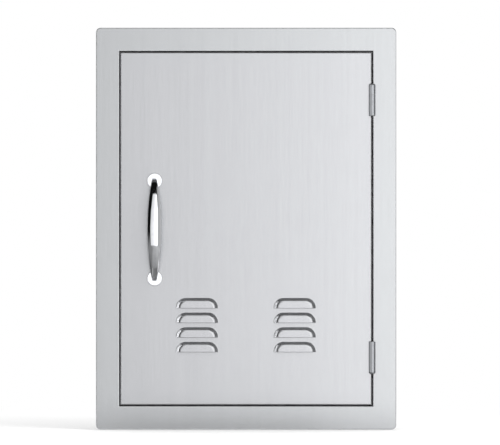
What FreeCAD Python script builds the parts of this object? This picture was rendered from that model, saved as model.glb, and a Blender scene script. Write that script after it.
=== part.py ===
import FreeCAD
import Part

import math
import os

# Vented access door for the wall of an outdoor kitchen island, built as its separate pieces.
# All sizes are in millimetres. The front faces -Y, +X is to the right and +Z is up.
# The origin is the centre of the cut-out, in the plane of the island's face.

Vector = FreeCAD.Vector
ORIGIN = Vector(0, 0, 0)
X_AXIS = Vector(1, 0, 0)
Y_AXIS = Vector(0, 1, 0)
Z_AXIS = Vector(0, 0, 1)

# Fits shared by all pieces
RUNNING_CLEARANCE = 0.05    # round a pin or a rivet's shank
HOLE_CLEARANCE = 0.25       # round a screw that passes through
BODY_CLEARANCE = 0.3        # between the closed door and what it rests against
BEND_RADIUS = 0.6           # inside radius of every ordinary bend in sheet
CUT_MARGIN = 1.0            # how far a cutting tool runs past what it cuts
ON_PLANE = 0.01             # how near to a plane an edge lies to count as on it

# Surround and sleeve
SLEEVE_WIDTH = 430.6        # outside of the frame's inner return, for a cut-out of 431.8
SLEEVE_HEIGHT = 602.05      # for a cut-out of 603.25
FLANGE_OVERLAP = 38.7       # past the return on every side, which makes 508.0 by 679.45 overall
SLEEVE_DEPTH = 64.0         # behind the island's face
FRAME_SHEET = 1.0
FLANGE_RISE = 10.0          # from the island's face to the front of the surround
FLANGE_EDGE_RADIUS = 2.0    # outside radius of the surround's outer edge
FLANGE_CORNER_RADIUS = 8.0
FLANGE_LIP = 7.0            # lip that lies on the island's face
RETURN_OVERLAP = 18.0       # inner return past the door stop, welded to the sleeve
STOP_WIDTH = 18.0
REAR_FLANGE_WIDTH = 14.0

# Mounting holes in the sleeve, behind the frame's return
MOUNT_HOLE_RADIUS = 2.5
MOUNT_HOLE_INSET = 16.0     # from the sleeve's rear edge
LATCH_SIDE_HOLES = (80.0, 240.0)
HINGE_SIDE_HOLES = (60.0, 220.0)
TOP_HOLES = (120.0,)
BOTTOM_HOLES = (140.0,)

# Door
DOOR_THICKNESS = 22.0
DOOR_BEND_RADIUS = 1.6      # outside radius of the door's edges
SKIN_SHEET = 1.0
LINER_SHEET = 0.9
LINER_FLANGE = 7.0
LATCH_GAP = 2.0
TOP_GAP = 2.5
BOTTOM_GAP = 2.3
STOP_GAP = 4.0              # between the door's back and the door stop

# Hinges: leaves in the gap, barrel more than half proud of the front
LEAF_SHEET = 1.0
LEAF_GAP = 0.5
LEAF_DEPTH = 14.0
NECK_ROOT = 0.8             # how deep a leaf's neck runs into its knuckle's wall
BARREL_RADIUS = 5.6
BARREL_PROUD = 2.0          # from the door's face to the pin's axis
PIN_RADIUS = 3.2
PIN_END_GAP = 0.5           # between the pin's end and the cap
KNUCKLE_LENGTH = 15.3
KNUCKLE_GAP = 0.25
PIN_HEAD_HEIGHT = 4.0
PIN_HEAD_RIM = 1.2
PIN_HEAD_FLAT = 2.2         # radius of the flat on top of the head
PIN_CAP_HEIGHT = 4.5
PIN_CAP_EDGE = 1.4
SWEEP_CLEARANCE = 0.55      # between the barrel and the leaf that turns round it
NOTCH_CLEARANCE = 0.35
HINGE_INSET = 79.7          # from the door's end to the middle of the hinge
RIVET_PITCH = 15.5
RIVET_SHANK_RADIUS = 1.6
RIVET_HEAD_RADIUS = 2.6
RIVET_HEAD_DEPTH = 0.8
RIVET_TAIL_RADIUS = 2.5
RIVET_TAIL_HEIGHT = 1.1
STIFFENER_SHEET = 2.0
STIFFENER_MARGIN = 20.0     # past each hinge

# Louvres, pressed outwards and open at the bottom
LOUVRE_ROWS = 4
LOUVRE_PITCH = 24.7
LOUVRE_COLUMN_SPACING = 165.2
LOUVRE_FIRST_HEIGHT = 89.0  # from the door's bottom to the lowest mouth
LOUVRE_WIDTH = 70.5
LOUVRE_HEIGHT = 17.2
LOUVRE_CORNER = 14.5
LOUVRE_RISE = 5.5
LOUVRE_SIDE_SLOPE = 4.6     # width of the sloping wall at the sides
LOUVRE_TOP_SLOPE = 4.0      # height of the sloping wall at the top
LOUVRE_CROWN_RADIUS = 5.0
VENT_SLOT_LENGTH = 60.0
VENT_SLOT_WIDTH = 7.0

# Handle
HANDLE_INSET = 57.6         # from the door's latch edge
HANDLE_DROP = 1.3           # of the handle's middle below the door's
HANDLE_SPACING = 165.0      # between the posts
HANDLE_REACH = 39.0         # from the door's face to the middle of the bow
HANDLE_SHOULDER_RADIUS = 22.0
HANDLE_SHOULDER_ANGLE = 70.0
HANDLE_THICKNESS = 9.0
HANDLE_POST_WIDTH = 9.0
HANDLE_MIDDLE_WIDTH = 24.0
HANDLE_OUTLINE_LENGTH = 180.0   # over the points where the bow's outline would close
HANDLE_OUTLINE_TAPER = 0.58     # 0.5 makes the outline an ellipse, and more draws its ends in
HANDLE_MIDDLE_SQUARENESS = 2.0  # 2 is an ellipse, and more is nearer to a rectangle
HANDLE_POST_SQUARENESS = 4.0
HANDLE_SECTION_POINTS = 24
HANDLE_SHOULDER_STEPS = 6
HANDLE_CROWN_STEPS = 4
ROSETTE_DIAMETER = 25.4
ROSETTE_HEIGHT = 3.0
ROSETTE_EDGE_RADIUS = 0.8
HANDLE_SCREW_RADIUS = 2.0
HANDLE_SCREW_REACH = 8.0    # into the post
HANDLE_BORE_SPARE = 1.0     # past the screw's tip
HANDLE_SCREW_HEAD_RADIUS = 4.0
HANDLE_SCREW_HEAD_HEIGHT = 2.6
WASHER_RADIUS = 5.0
WASHER_SHEET = 1.0
BACKING_SHEET = 2.0
BACKING_WIDTH = 30.0
BACKING_MARGIN = 17.0       # past each screw
BACKING_CORNER_RADIUS = 4.0
PLUG_HOLE_RADIUS = 7.8
PLUG_HEAD_RADIUS = 9.5
PLUG_HEAD_HEIGHT = 1.2
PLUG_HEAD_BEVEL = 0.8
PLUG_DEPTH = 4.0
PLUG_WALL = 1.2

# Pan-head screws, as shares of the shank's or the head's own size
SCREW_TIP_SHARE = 0.8
SCREW_POINT_SHARE = 0.4
SCREW_RIM_SHARE = 0.45
SCREW_FLAT_SHARE = 0.4

# Magnetic catch on the latch side, in a window of the door stop
CATCH_WIDTH = 15.5
CATCH_POLE_INSET = 9.5      # from the sleeve's web to the middle of the poles
CATCH_BODY_HALF_HEIGHT = 12.5
CATCH_EAR_LENGTH = 11.0
CATCH_EAR_THICKNESS = 5.0
CATCH_EAR_RADIUS = 3.0
CATCH_EDGE_RADIUS = 1.0
CATCH_DEPTH = 18.0
CATCH_HOLLOW_DEPTH = 14.0
CATCH_SCREW_RADIUS = 1.9
CATCH_SCREW_HEAD_RADIUS = 3.5
CATCH_SCREW_HEAD_HEIGHT = 2.2
CATCH_WINDOW_CLEARANCE = 0.5
MAGNET_THICKNESS = 5.0
MAGNET_HALF_HEIGHT = 9.5
POLE_SHEET = 1.2
POLE_PROUD = 0.5            # in front of the catch's case
STRIKE_SHEET = 1.5
STRIKE_WIDTH = 12.0
STRIKE_HALF_HEIGHT = 25.0
STRIKE_RIVET_INSET = 6.0
STRIKE_CORNER_RADIUS = 2.0

# Rubber buttons on the door stop
BUMPER_RADIUS = 5.0
BUMPER_RIM = 1.5
BUMPER_FLAT_RADIUS = 2.5
BUMPER_NECK_RADIUS = 2.2
BUMPER_BARB_RADIUS = 3.0
BUMPER_BARB_TIP_RADIUS = 1.3
BUMPER_BARB_HEIGHT = 3.0
BUMPER_INSET = 40.0         # from the ends of the opening

# Levels and edges that follow from the sizes above
OPEN_X = SLEEVE_WIDTH / 2 - FRAME_SHEET
OPEN_Z = SLEEVE_HEIGHT / 2 - FRAME_SHEET
FLANGE_BREADTH = FLANGE_OVERLAP + FRAME_SHEET
FRONT_Y = -FLANGE_RISE
DOOR_BACK_Y = FRONT_Y + DOOR_THICKNESS
STOP_Y = DOOR_BACK_Y + STOP_GAP
RETURN_END_Y = STOP_Y + RETURN_OVERLAP
SKIN_BACK_Y = FRONT_Y + SKIN_SHEET
HINGE_GAP = 2 * LEAF_SHEET + LEAF_GAP
DOOR_LEFT = -OPEN_X + LATCH_GAP
DOOR_RIGHT = OPEN_X - HINGE_GAP
DOOR_TOP = OPEN_Z - TOP_GAP
DOOR_BOTTOM = -OPEN_Z + BOTTOM_GAP
DOOR_CENTRE_X = (DOOR_LEFT + DOOR_RIGHT) / 2
DOOR_CENTRE_Z = (DOOR_TOP + DOOR_BOTTOM) / 2
HINGE_X = OPEN_X - HINGE_GAP / 2
HINGE_Y = FRONT_Y - BARREL_PROUD
HINGE_STACK = 3 * KNUCKLE_LENGTH + 2 * KNUCKLE_GAP
BARREL_LENGTH = HINGE_STACK + PIN_HEAD_HEIGHT + PIN_CAP_HEIGHT
LEAF_START = BARREL_RADIUS + SWEEP_CLEARANCE
NOTCH_HALF_WIDTH = math.sqrt(BARREL_RADIUS ** 2 - BARREL_PROUD ** 2) + NOTCH_CLEARANCE
NOTCH_BACK_Y = HINGE_Y + BARREL_RADIUS + NOTCH_CLEARANCE
RIVET_Y = HINGE_Y + LEAF_START + LEAF_DEPTH / 2
HINGE_HEIGHTS = (DOOR_TOP - HINGE_INSET, DOOR_BOTTOM + HINGE_INSET)
LINER_FRONT_Y = DOOR_BACK_Y - LINER_FLANGE
HANDLE_X = DOOR_LEFT + HANDLE_INSET
HANDLE_Z = DOOR_CENTRE_Z - HANDLE_DROP
HANDLE_HEIGHTS = (HANDLE_Z + HANDLE_SPACING / 2, HANDLE_Z - HANDLE_SPACING / 2)
POST_END_Y = FRONT_Y - ROSETTE_HEIGHT
WEB_X = -(OPEN_X - FRAME_SHEET)
CATCH_X = WEB_X + CATCH_POLE_INSET
POLE_FRONT_Y = DOOR_BACK_Y + STRIKE_SHEET + BODY_CLEARANCE
CATCH_FRONT_Y = POLE_FRONT_Y + POLE_PROUD
CATCH_HALF_HEIGHT = CATCH_BODY_HALF_HEIGHT + CATCH_EAR_LENGTH
CATCH_SCREW_HEIGHT = CATCH_BODY_HALF_HEIGHT + CATCH_EAR_LENGTH / 2
CATCH_SCREW_Y = CATCH_FRONT_Y + CATCH_DEPTH / 2


def box(x0, x1, y0, y1, z0, z1):
    """A block between two corners."""
    return Part.makeBox(x1 - x0, y1 - y0, z1 - z0, Vector(x0, y0, z0))


def rod(radius, start, direction, length):
    """A round bar or the tool for a round hole."""
    return Part.makeCylinder(radius, length, start, direction)


def through_hole(radius, start, direction, thickness):
    """The tool for a round hole through sheet whose near face is at the start."""
    return rod(radius, start - direction * CUT_MARGIN, direction, thickness + 2 * CUT_MARGIN)


def rounded(start, end):
    """A point of a turned outline, reached by an arc that leaves the start along the axis."""
    share = math.sqrt(0.5)
    return (*end, end[0] + (start[0] - end[0]) * share, start[1] + (end[1] - start[1]) * share)


def outline_face(points):
    """A closed face in the XY plane. A point is (x, y), or (x, y, mid_x, mid_y) to reach it by an arc."""
    edges = []
    previous = points[-1]
    for point in points:
        start = Vector(previous[0], previous[1], 0)
        end = Vector(point[0], point[1], 0)
        if len(point) == 4:
            edges.append(Part.Arc(start, Vector(point[2], point[3], 0), end).toShape())
        else:
            edges.append(Part.makeLine(start, end))
        previous = point
    return Part.Face(Part.Wire(edges))


def turned(points, position, direction):
    """A solid of revolution. Points are (radius, height), with height along the given direction."""
    face = outline_face(points)
    face.rotate(ORIGIN, X_AXIS, 90)
    solid = face.revolve(ORIGIN, Z_AXIS, 360)
    turn = FreeCAD.Rotation(Z_AXIS, direction)
    solid.Placement = FreeCAD.Placement(position, turn)
    return solid


def bent_strip(start, heading, moves, sheet):
    """The cross-section of bent sheet, along its middle line.

    A move is a length to run straight, or a pair of middle radius and angle for a bend, where a
    positive angle turns left.
    """
    left = []
    right = []
    x, y = start
    half = sheet / 2

    def side_point(px, py, angle, offset):
        return Vector(px - offset * math.sin(angle), py + offset * math.cos(angle), 0)

    angle = math.radians(heading)
    for move in moves:
        if isinstance(move, tuple):
            radius, turn = move
            way = math.copysign(1.0, turn)
            centre_x = x - way * radius * math.sin(angle)
            centre_y = y + way * radius * math.cos(angle)
            stops = []
            for share in (0.0, 0.5, 1.0):
                at = angle + math.radians(turn) * share
                px = centre_x + way * radius * math.sin(at)
                py = centre_y - way * radius * math.cos(at)
                stops.append((px, py, at))
            left.append(Part.Arc(*[side_point(*stop, half) for stop in stops]).toShape())
            right.append(Part.Arc(*[side_point(*stop, -half) for stop in stops]).toShape())
            x, y, angle = stops[-1]
        else:
            next_x = x + move * math.cos(angle)
            next_y = y + move * math.sin(angle)
            for edges, offset in ((left, half), (right, -half)):
                a = side_point(x, y, angle, offset)
                b = side_point(next_x, next_y, angle, offset)
                edges.append(Part.makeLine(a, b))
            x, y = next_x, next_y
    first = left[0].Vertexes[0].Point
    other_first = right[0].Vertexes[0].Point
    last = left[-1].Vertexes[-1].Point
    other_last = right[-1].Vertexes[-1].Point
    ends = [Part.makeLine(first, other_first), Part.makeLine(last, other_last)]
    return Part.Face(Part.Wire(Part.__sortEdges__(left + right + ends)))


def flange_section():
    """The surround's section: distance outwards from the opening's face, then Y."""
    middle = BEND_RADIUS + FRAME_SHEET / 2
    edge = FLANGE_EDGE_RADIUS - FRAME_SHEET / 2
    moves = [
        RETURN_END_Y - FRONT_Y - FRAME_SHEET / 2 - middle,
        (middle, 90),
        FLANGE_BREADTH - FRAME_SHEET - middle - edge,
        (edge, 90),
        FLANGE_RISE - FRAME_SHEET - edge - middle,
        (middle, 90),
        FLANGE_LIP - FRAME_SHEET / 2 - middle,
    ]
    return bent_strip((FRAME_SHEET / 2, RETURN_END_Y), -90, moves, FRAME_SHEET)


def sleeve_section():
    """The channel behind the surround: door stop, web and rear flange."""
    middle = BEND_RADIUS + FRAME_SHEET / 2
    corner = FRAME_SHEET / 2 + middle
    moves = [
        STOP_WIDTH - corner,
        (middle, 90),
        SLEEVE_DEPTH - STOP_Y - 2 * corner,
        (middle, 90),
        REAR_FLANGE_WIDTH - corner,
    ]
    return bent_strip((-STOP_WIDTH, STOP_Y + FRAME_SHEET / 2), 0, moves, FRAME_SHEET)


def mitred_side(section, offset, half_length):
    """One side of a rectangular frame along Z at x = offset, cut at 45 degrees at both ends."""
    bounds = section.BoundBox
    inner = bounds.XMin - CUT_MARGIN
    outer = bounds.XMax + CUT_MARGIN
    front = bounds.YMin - CUT_MARGIN
    bar = section.copy()
    bar.translate(Vector(offset, 0, -half_length - outer))
    bar = bar.extrude(Z_AXIS * 2 * (half_length + outer))
    corners = [
        Vector(offset + inner, front, -half_length - inner),
        Vector(offset + outer, front, -half_length - outer),
        Vector(offset + outer, front, half_length + outer),
        Vector(offset + inner, front, half_length + inner),
    ]
    wedge = Part.Face(Part.makePolygon(corners + corners[:1]))
    wedge = wedge.extrude(Y_AXIS * (bounds.YLength + 2 * CUT_MARGIN))
    return bar.common(wedge)


def about_y(shape, degrees):
    """A copy turned about the Y axis. A turn of -90 degrees takes +X to +Z."""
    copy = shape.copy()
    copy.rotate(ORIGIN, Y_AXIS, degrees)
    return copy


def four_sides(section):
    """Right, left, top and bottom sides of a mitred rectangular frame."""
    upright = mitred_side(section, OPEN_X, OPEN_Z)
    level = mitred_side(section, OPEN_Z, OPEN_X)
    return {
        "right": upright,
        "left": about_y(upright, 180),
        "top": about_y(level, -90),
        "bottom": about_y(level, 90),
    }


def rounded_corner(section, start, x, z, sign_x, sign_z):
    """The bent edge carried round an outer corner of the surround."""
    bounds = section.BoundBox
    keep = box(start, bounds.XMax + CUT_MARGIN, bounds.YMin - CUT_MARGIN, bounds.YMax + CUT_MARGIN,
               -CUT_MARGIN, CUT_MARGIN)
    edge = section.common(keep)
    edge.translate(Vector(-start, 0, 0))
    quarter = edge.revolve(ORIGIN, Vector(0, -1, 0), 90)
    turns = {(1, 1): 0, (-1, 1): -90, (-1, -1): 180, (1, -1): 90}
    quarter = about_y(quarter, turns[(sign_x, sign_z)])
    quarter.translate(Vector(sign_x * x, 0, sign_z * z))
    return quarter


def hinge_notches():
    """Clearance round both barrels, cut in the door's edge and in the surround."""
    notches = []
    for height in HINGE_HEIGHTS:
        half = BARREL_LENGTH / 2 + NOTCH_CLEARANCE
        notches.append(box(HINGE_X - NOTCH_HALF_WIDTH, HINGE_X + NOTCH_HALF_WIDTH,
                           FRONT_Y - CUT_MARGIN, NOTCH_BACK_Y, height - half, height + half))
    return notches


def rivet_holes(x, thickness):
    """Shank holes of the hinge rivets through metal that starts at x and goes to the right."""
    holes = []
    for height in HINGE_HEIGHTS:
        for step in (-1, 0, 1):
            start = Vector(x, RIVET_Y, height + stack_shift(height) + step * RIVET_PITCH)
            holes.append(through_hole(RIVET_SHANK_RADIUS + RUNNING_CLEARANCE, start, X_AXIS, thickness))
    return holes


def stack_shift(height):
    """The knuckles sit off the barrel's middle, because head and cap differ in height."""
    shift = (PIN_CAP_HEIGHT - PIN_HEAD_HEIGHT) / 2
    return shift if height > DOOR_CENTRE_Z else -shift


def make_face_frame():
    section = flange_section()
    sides = four_sides(section)
    frame = sides["right"].multiFuse([sides["left"], sides["top"], sides["bottom"]])
    corner_start = FLANGE_BREADTH - FLANGE_CORNER_RADIUS
    x = OPEN_X + corner_start
    z = OPEN_Z + corner_start
    reach = FLANGE_CORNER_RADIUS + CUT_MARGIN
    corners = []
    for sign_x in (1, -1):
        for sign_z in (1, -1):
            x0, x1 = sorted((sign_x * x, sign_x * (x + reach)))
            z0, z1 = sorted((sign_z * z, sign_z * (z + reach)))
            frame = frame.cut(box(x0, x1, FRONT_Y - CUT_MARGIN, CUT_MARGIN, z0, z1))
            corners.append(rounded_corner(section, corner_start, x, z, sign_x, sign_z))
    frame = frame.multiFuse(corners).removeSplitter()
    return frame.cut(hinge_notches() + rivet_holes(OPEN_X, FRAME_SHEET) + catch_screw_holes())


def catch_screw_holes():
    """Holes for the catch's screws through the sleeve's web and the frame's return."""
    holes = []
    for sign in (-1, 1):
        start = Vector(WEB_X, CATCH_SCREW_Y, sign * CATCH_SCREW_HEIGHT + DOOR_CENTRE_Z)
        holes.append(through_hole(CATCH_SCREW_RADIUS + RUNNING_CLEARANCE, start, -X_AXIS, 2 * FRAME_SHEET))
    return holes


def mount_holes(distances, along, outwards, offset):
    """Pairs of mounting holes at plus and minus each distance from the middle of a side."""
    holes = []
    for distance in distances:
        for sign in (-1, 1):
            start = outwards * (offset - FRAME_SHEET) + along * sign * distance
            start.y = SLEEVE_DEPTH - MOUNT_HOLE_INSET
            holes.append(through_hole(MOUNT_HOLE_RADIUS, start, outwards, FRAME_SHEET))
    return holes


def bumper_places():
    """Middle of each rubber button on the door stop, as x and z."""
    x = OPEN_X - STOP_WIDTH / 2
    z = OPEN_Z - BUMPER_INSET
    return [(x, z), (-x, z), (-x, -z), (x, -z)]


def make_sleeves():
    sides = four_sides(sleeve_section())
    neck_holes = []
    for x, z in bumper_places():
        neck_holes.append(through_hole(BUMPER_NECK_RADIUS + RUNNING_CLEARANCE, Vector(x, STOP_Y, z),
                                       Y_AXIS, FRAME_SHEET))
    inner_corner = FRAME_SHEET + BEND_RADIUS
    half = CATCH_HALF_HEIGHT + CATCH_WINDOW_CLEARANCE
    window = box(WEB_X, -OPEN_X + STOP_WIDTH + CUT_MARGIN, STOP_Y - CUT_MARGIN, STOP_Y + inner_corner,
                 DOOR_CENTRE_Z - half, DOOR_CENTRE_Z + half)
    left_cuts = mount_holes(LATCH_SIDE_HOLES, Z_AXIS, -X_AXIS, OPEN_X) + neck_holes[1:3]
    left_cuts += catch_screw_holes() + [window]
    right_cuts = mount_holes(HINGE_SIDE_HOLES, Z_AXIS, X_AXIS, OPEN_X) + neck_holes[::3]
    return {
        "sleeve_left": sides["left"].cut(left_cuts),
        "sleeve_right": sides["right"].cut(right_cuts),
        "sleeve_top": sides["top"].cut(mount_holes(TOP_HOLES, X_AXIS, Z_AXIS, OPEN_Z)),
        "sleeve_bottom": sides["bottom"].cut(mount_holes(BOTTOM_HOLES, X_AXIS, -Z_AXIS, OPEN_Z)),
    }


def pan(x0, x1, z0, z1, closed_y, open_y, sheet):
    """A shallow pan of sheet: a face at closed_y with four walls that reach open_y."""
    y0, y1 = sorted((closed_y, open_y))
    outer = box(x0, x1, y0, y1, z0, z1)
    way = math.copysign(1.0, open_y - closed_y)
    inner_closed = closed_y + way * sheet
    inner_open = open_y + way * CUT_MARGIN
    y2, y3 = sorted((inner_closed, inner_open))
    inner = box(x0 + sheet, x1 - sheet, y2, y3, z0 + sheet, z1 - sheet)
    outer = outer.makeFillet(DOOR_BEND_RADIUS, pan_edges(outer, closed_y, open_y))
    inner = inner.makeFillet(DOOR_BEND_RADIUS - sheet, pan_edges(inner, inner_closed, inner_open))
    return outer.cut(inner)


def pan_edges(block, closed_y, open_y):
    """All edges of a block but those round its open side."""
    edges = []
    for edge in block.Edges:
        middle_y = edge.BoundBox.Center.y
        if abs(middle_y - open_y) > ON_PLANE:
            edges.append(edge)
    return edges


def louvre_wire(width, height, corner, bottom, y):
    """A louvre's outline: flat at the mouth, rounded at the two upper corners."""
    half = width / 2
    top = bottom + height
    lean = corner * (1 - math.sqrt(0.5))
    left_mid = Vector(-half + lean, y, top - lean)
    right_mid = Vector(half - lean, y, top - lean)
    points = [
        Vector(-half, y, bottom),
        Vector(-half, y, top - corner),
        Vector(-half + corner, y, top),
        Vector(half - corner, y, top),
        Vector(half, y, top - corner),
        Vector(half, y, bottom),
    ]
    return Part.Wire([
        Part.makeLine(points[0], points[1]),
        Part.Arc(points[1], left_mid, points[2]).toShape(),
        Part.makeLine(points[2], points[3]),
        Part.Arc(points[3], right_mid, points[4]).toShape(),
        Part.makeLine(points[4], points[5]),
        Part.makeLine(points[5], points[0]),
    ])


def louvre_hood(bottom):
    """The pressed hood as a full solid, from the door's front face outwards."""
    top_width = LOUVRE_WIDTH - 2 * LOUVRE_SIDE_SLOPE
    top_height = LOUVRE_HEIGHT - LOUVRE_TOP_SLOPE
    top_corner = LOUVRE_CORNER - LOUVRE_TOP_SLOPE
    base = louvre_wire(LOUVRE_WIDTH, LOUVRE_HEIGHT, LOUVRE_CORNER, bottom, FRONT_Y)
    crown = louvre_wire(top_width, top_height, top_corner, bottom, FRONT_Y - LOUVRE_RISE)
    hood = Part.makeLoft([base, crown], True, True)
    crown_edges = []
    for edge in hood.Edges:
        bounds = edge.BoundBox
        on_crown = abs(bounds.YMax - (FRONT_Y - LOUVRE_RISE)) < ON_PLANE
        if on_crown and bounds.ZMax > bottom + ON_PLANE:
            crown_edges.append(edge)
    return hood.makeFillet(LOUVRE_CROWN_RADIUS, crown_edges)


def louvre_places():
    """Middle x and mouth height of every louvre."""
    places = []
    for row in range(LOUVRE_ROWS):
        for side in (-1, 1):
            x = DOOR_CENTRE_X + side * LOUVRE_COLUMN_SPACING / 2
            places.append((x, DOOR_BOTTOM + LOUVRE_FIRST_HEIGHT + row * LOUVRE_PITCH))
    return places


def make_door_skin():
    skin = pan(DOOR_LEFT, DOOR_RIGHT, DOOR_BOTTOM, DOOR_TOP, FRONT_Y, DOOR_BACK_Y, SKIN_SHEET)
    hood = louvre_hood(0.0)
    hoods = []
    hollows = []
    for x, z in louvre_places():
        outside = hood.copy()
        outside.translate(Vector(x, 0, z))
        hoods.append(outside)
        inside = hood.copy()
        inside.translate(Vector(x, SKIN_SHEET, z))
        hollows.append(inside)
    skin = skin.multiFuse(hoods).cut(hollows)
    holes = []
    for height in HANDLE_HEIGHTS:
        holes.append(through_hole(HANDLE_SCREW_RADIUS + HOLE_CLEARANCE, Vector(HANDLE_X, FRONT_Y, height),
                                  Y_AXIS, SKIN_SHEET))
    return skin.cut(holes + hinge_notches() + rivet_holes(DOOR_RIGHT - SKIN_SHEET, SKIN_SHEET))


def vent_slot(x, z):
    """The tool for one rounded vent slot in the liner."""
    radius = VENT_SLOT_WIDTH / 2
    half = VENT_SLOT_LENGTH / 2 - radius
    y0 = DOOR_BACK_Y - LINER_SHEET - CUT_MARGIN
    depth = LINER_SHEET + 2 * CUT_MARGIN
    slot = box(x - half, x + half, y0, y0 + depth, z - radius, z + radius)
    ends = [rod(radius, Vector(x + side * half, y0, z), Y_AXIS, depth) for side in (-1, 1)]
    return slot.multiFuse(ends)


def make_door_liner():
    liner = pan(DOOR_LEFT + SKIN_SHEET, DOOR_RIGHT - SKIN_SHEET, DOOR_BOTTOM + SKIN_SHEET,
                DOOR_TOP - SKIN_SHEET, DOOR_BACK_Y, LINER_FRONT_Y, LINER_SHEET)
    cuts = [vent_slot(x, z + LOUVRE_HEIGHT / 2) for x, z in louvre_places()]
    for height in HANDLE_HEIGHTS:
        cuts.append(through_hole(PLUG_HOLE_RADIUS, Vector(HANDLE_X, DOOR_BACK_Y - LINER_SHEET, height),
                                 Y_AXIS, LINER_SHEET))
    return liner.cut(cuts + strike_holes())


def make_hinge_stiffener():
    x1 = DOOR_RIGHT - SKIN_SHEET
    x0 = x1 - STIFFENER_SHEET
    bar = box(x0, x1, NOTCH_BACK_Y, LINER_FRONT_Y - BODY_CLEARANCE,
              HINGE_HEIGHTS[1] - HINGE_STACK / 2 - STIFFENER_MARGIN,
              HINGE_HEIGHTS[0] + HINGE_STACK / 2 + STIFFENER_MARGIN)
    return bar.cut(rivet_holes(x0, STIFFENER_SHEET))


def make_hinge():
    """One hinge at the origin with its pin's head upwards: the middle of its barrel is at zero."""
    bore = PIN_RADIUS + RUNNING_CLEARANCE
    stack_bottom = -BARREL_LENGTH / 2 + PIN_CAP_HEIGHT
    levels = [stack_bottom + step * (KNUCKLE_LENGTH + KNUCKLE_GAP) for step in range(3)]
    neck_start = BARREL_RADIUS - NECK_ROOT

    def leaf(side, owned):
        x0, x1 = sorted((side * LEAF_GAP / 2, side * (LEAF_GAP / 2 + LEAF_SHEET)))
        plate = box(x0, x1, LEAF_START, LEAF_START + LEAF_DEPTH, stack_bottom, stack_bottom + HINGE_STACK)
        solids = []
        for step in owned:
            bottom = levels[step]
            barrel = rod(BARREL_RADIUS, Vector(0, 0, bottom), Z_AXIS, KNUCKLE_LENGTH)
            solids.append(barrel)
            solids.append(box(x0, x1, neck_start, LEAF_START + NECK_ROOT, bottom, bottom + KNUCKLE_LENGTH))
        solid = plate.multiFuse(solids)
        solid = solid.cut(rod(bore, Vector(0, 0, -BARREL_LENGTH), Z_AXIS, 2 * BARREL_LENGTH))
        outer_face = side * (LEAF_GAP / 2)
        for step in (-1, 0, 1):
            height = stack_bottom + HINGE_STACK / 2 + step * RIVET_PITCH
            at = Vector(outer_face, RIVET_Y - HINGE_Y, height)
            solid = solid.cut(rivet_tool(at, X_AXIS * side, LEAF_SHEET))
        return solid.removeSplitter()

    pin_length = HINGE_STACK - PIN_END_GAP
    rim = (BARREL_RADIUS, PIN_HEAD_RIM)
    dome = [
        (0, -pin_length),
        (PIN_RADIUS, -pin_length),
        (PIN_RADIUS, 0),
        (BARREL_RADIUS, 0),
        rim,
        rounded(rim, (PIN_HEAD_FLAT, PIN_HEAD_HEIGHT)),
        (0, PIN_HEAD_HEIGHT),
    ]
    pin = turned(dome, Vector(0, 0, stack_bottom + HINGE_STACK), Z_AXIS)
    rim = (BARREL_RADIUS, PIN_CAP_HEIGHT - PIN_CAP_EDGE)
    button = [
        (0, 0),
        (BARREL_RADIUS, 0),
        rim,
        rounded(rim, (BARREL_RADIUS - PIN_CAP_EDGE, PIN_CAP_HEIGHT)),
        (0, PIN_CAP_HEIGHT),
    ]
    cap = turned(button, Vector(0, 0, stack_bottom), -Z_AXIS)
    return {
        "hinge_frame_leaf": leaf(1, (0, 2)),
        "hinge_door_leaf": leaf(-1, (1,)),
        "hinge_pin": pin,
        "hinge_pin_cap": cap,
    }


def rivet_tool(at, direction, thickness):
    """The countersunk hole of a flush rivet, from the visible face through sheet."""
    gap = RUNNING_CLEARANCE
    depth = thickness + CUT_MARGIN
    cone = [
        (0, -CUT_MARGIN),
        (RIVET_HEAD_RADIUS + gap, -CUT_MARGIN),
        (RIVET_HEAD_RADIUS + gap, 0),
        (RIVET_SHANK_RADIUS + gap, RIVET_HEAD_DEPTH),
        (RIVET_SHANK_RADIUS + gap, depth),
        (0, depth),
    ]
    return turned(cone, at, direction)


def rivet(at, direction, grip):
    """A flush rivet: countersunk head at the visible face, tail closed behind the grip."""
    points = [
        (0, 0),
        (RIVET_HEAD_RADIUS, 0),
        (RIVET_SHANK_RADIUS, RIVET_HEAD_DEPTH),
        (RIVET_SHANK_RADIUS, grip),
        (RIVET_TAIL_RADIUS, grip),
        (RIVET_TAIL_RADIUS, grip + RIVET_TAIL_HEIGHT / 2),
        (RIVET_SHANK_RADIUS, grip + RIVET_TAIL_HEIGHT),
        (0, grip + RIVET_TAIL_HEIGHT),
    ]
    return turned(points, at, direction)


def hinge_rivets(side, grip):
    """The rivets of one side's leaves, upper and lower hinge together."""
    rivets = []
    for height in HINGE_HEIGHTS:
        for step in (-1, 0, 1):
            z = height + stack_shift(height) + step * RIVET_PITCH
            at = Vector(HINGE_X + side * LEAF_GAP / 2, RIVET_Y, z)
            rivets.append(rivet(at, X_AXIS * side, grip))
    return Part.makeCompound(rivets)


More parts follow.
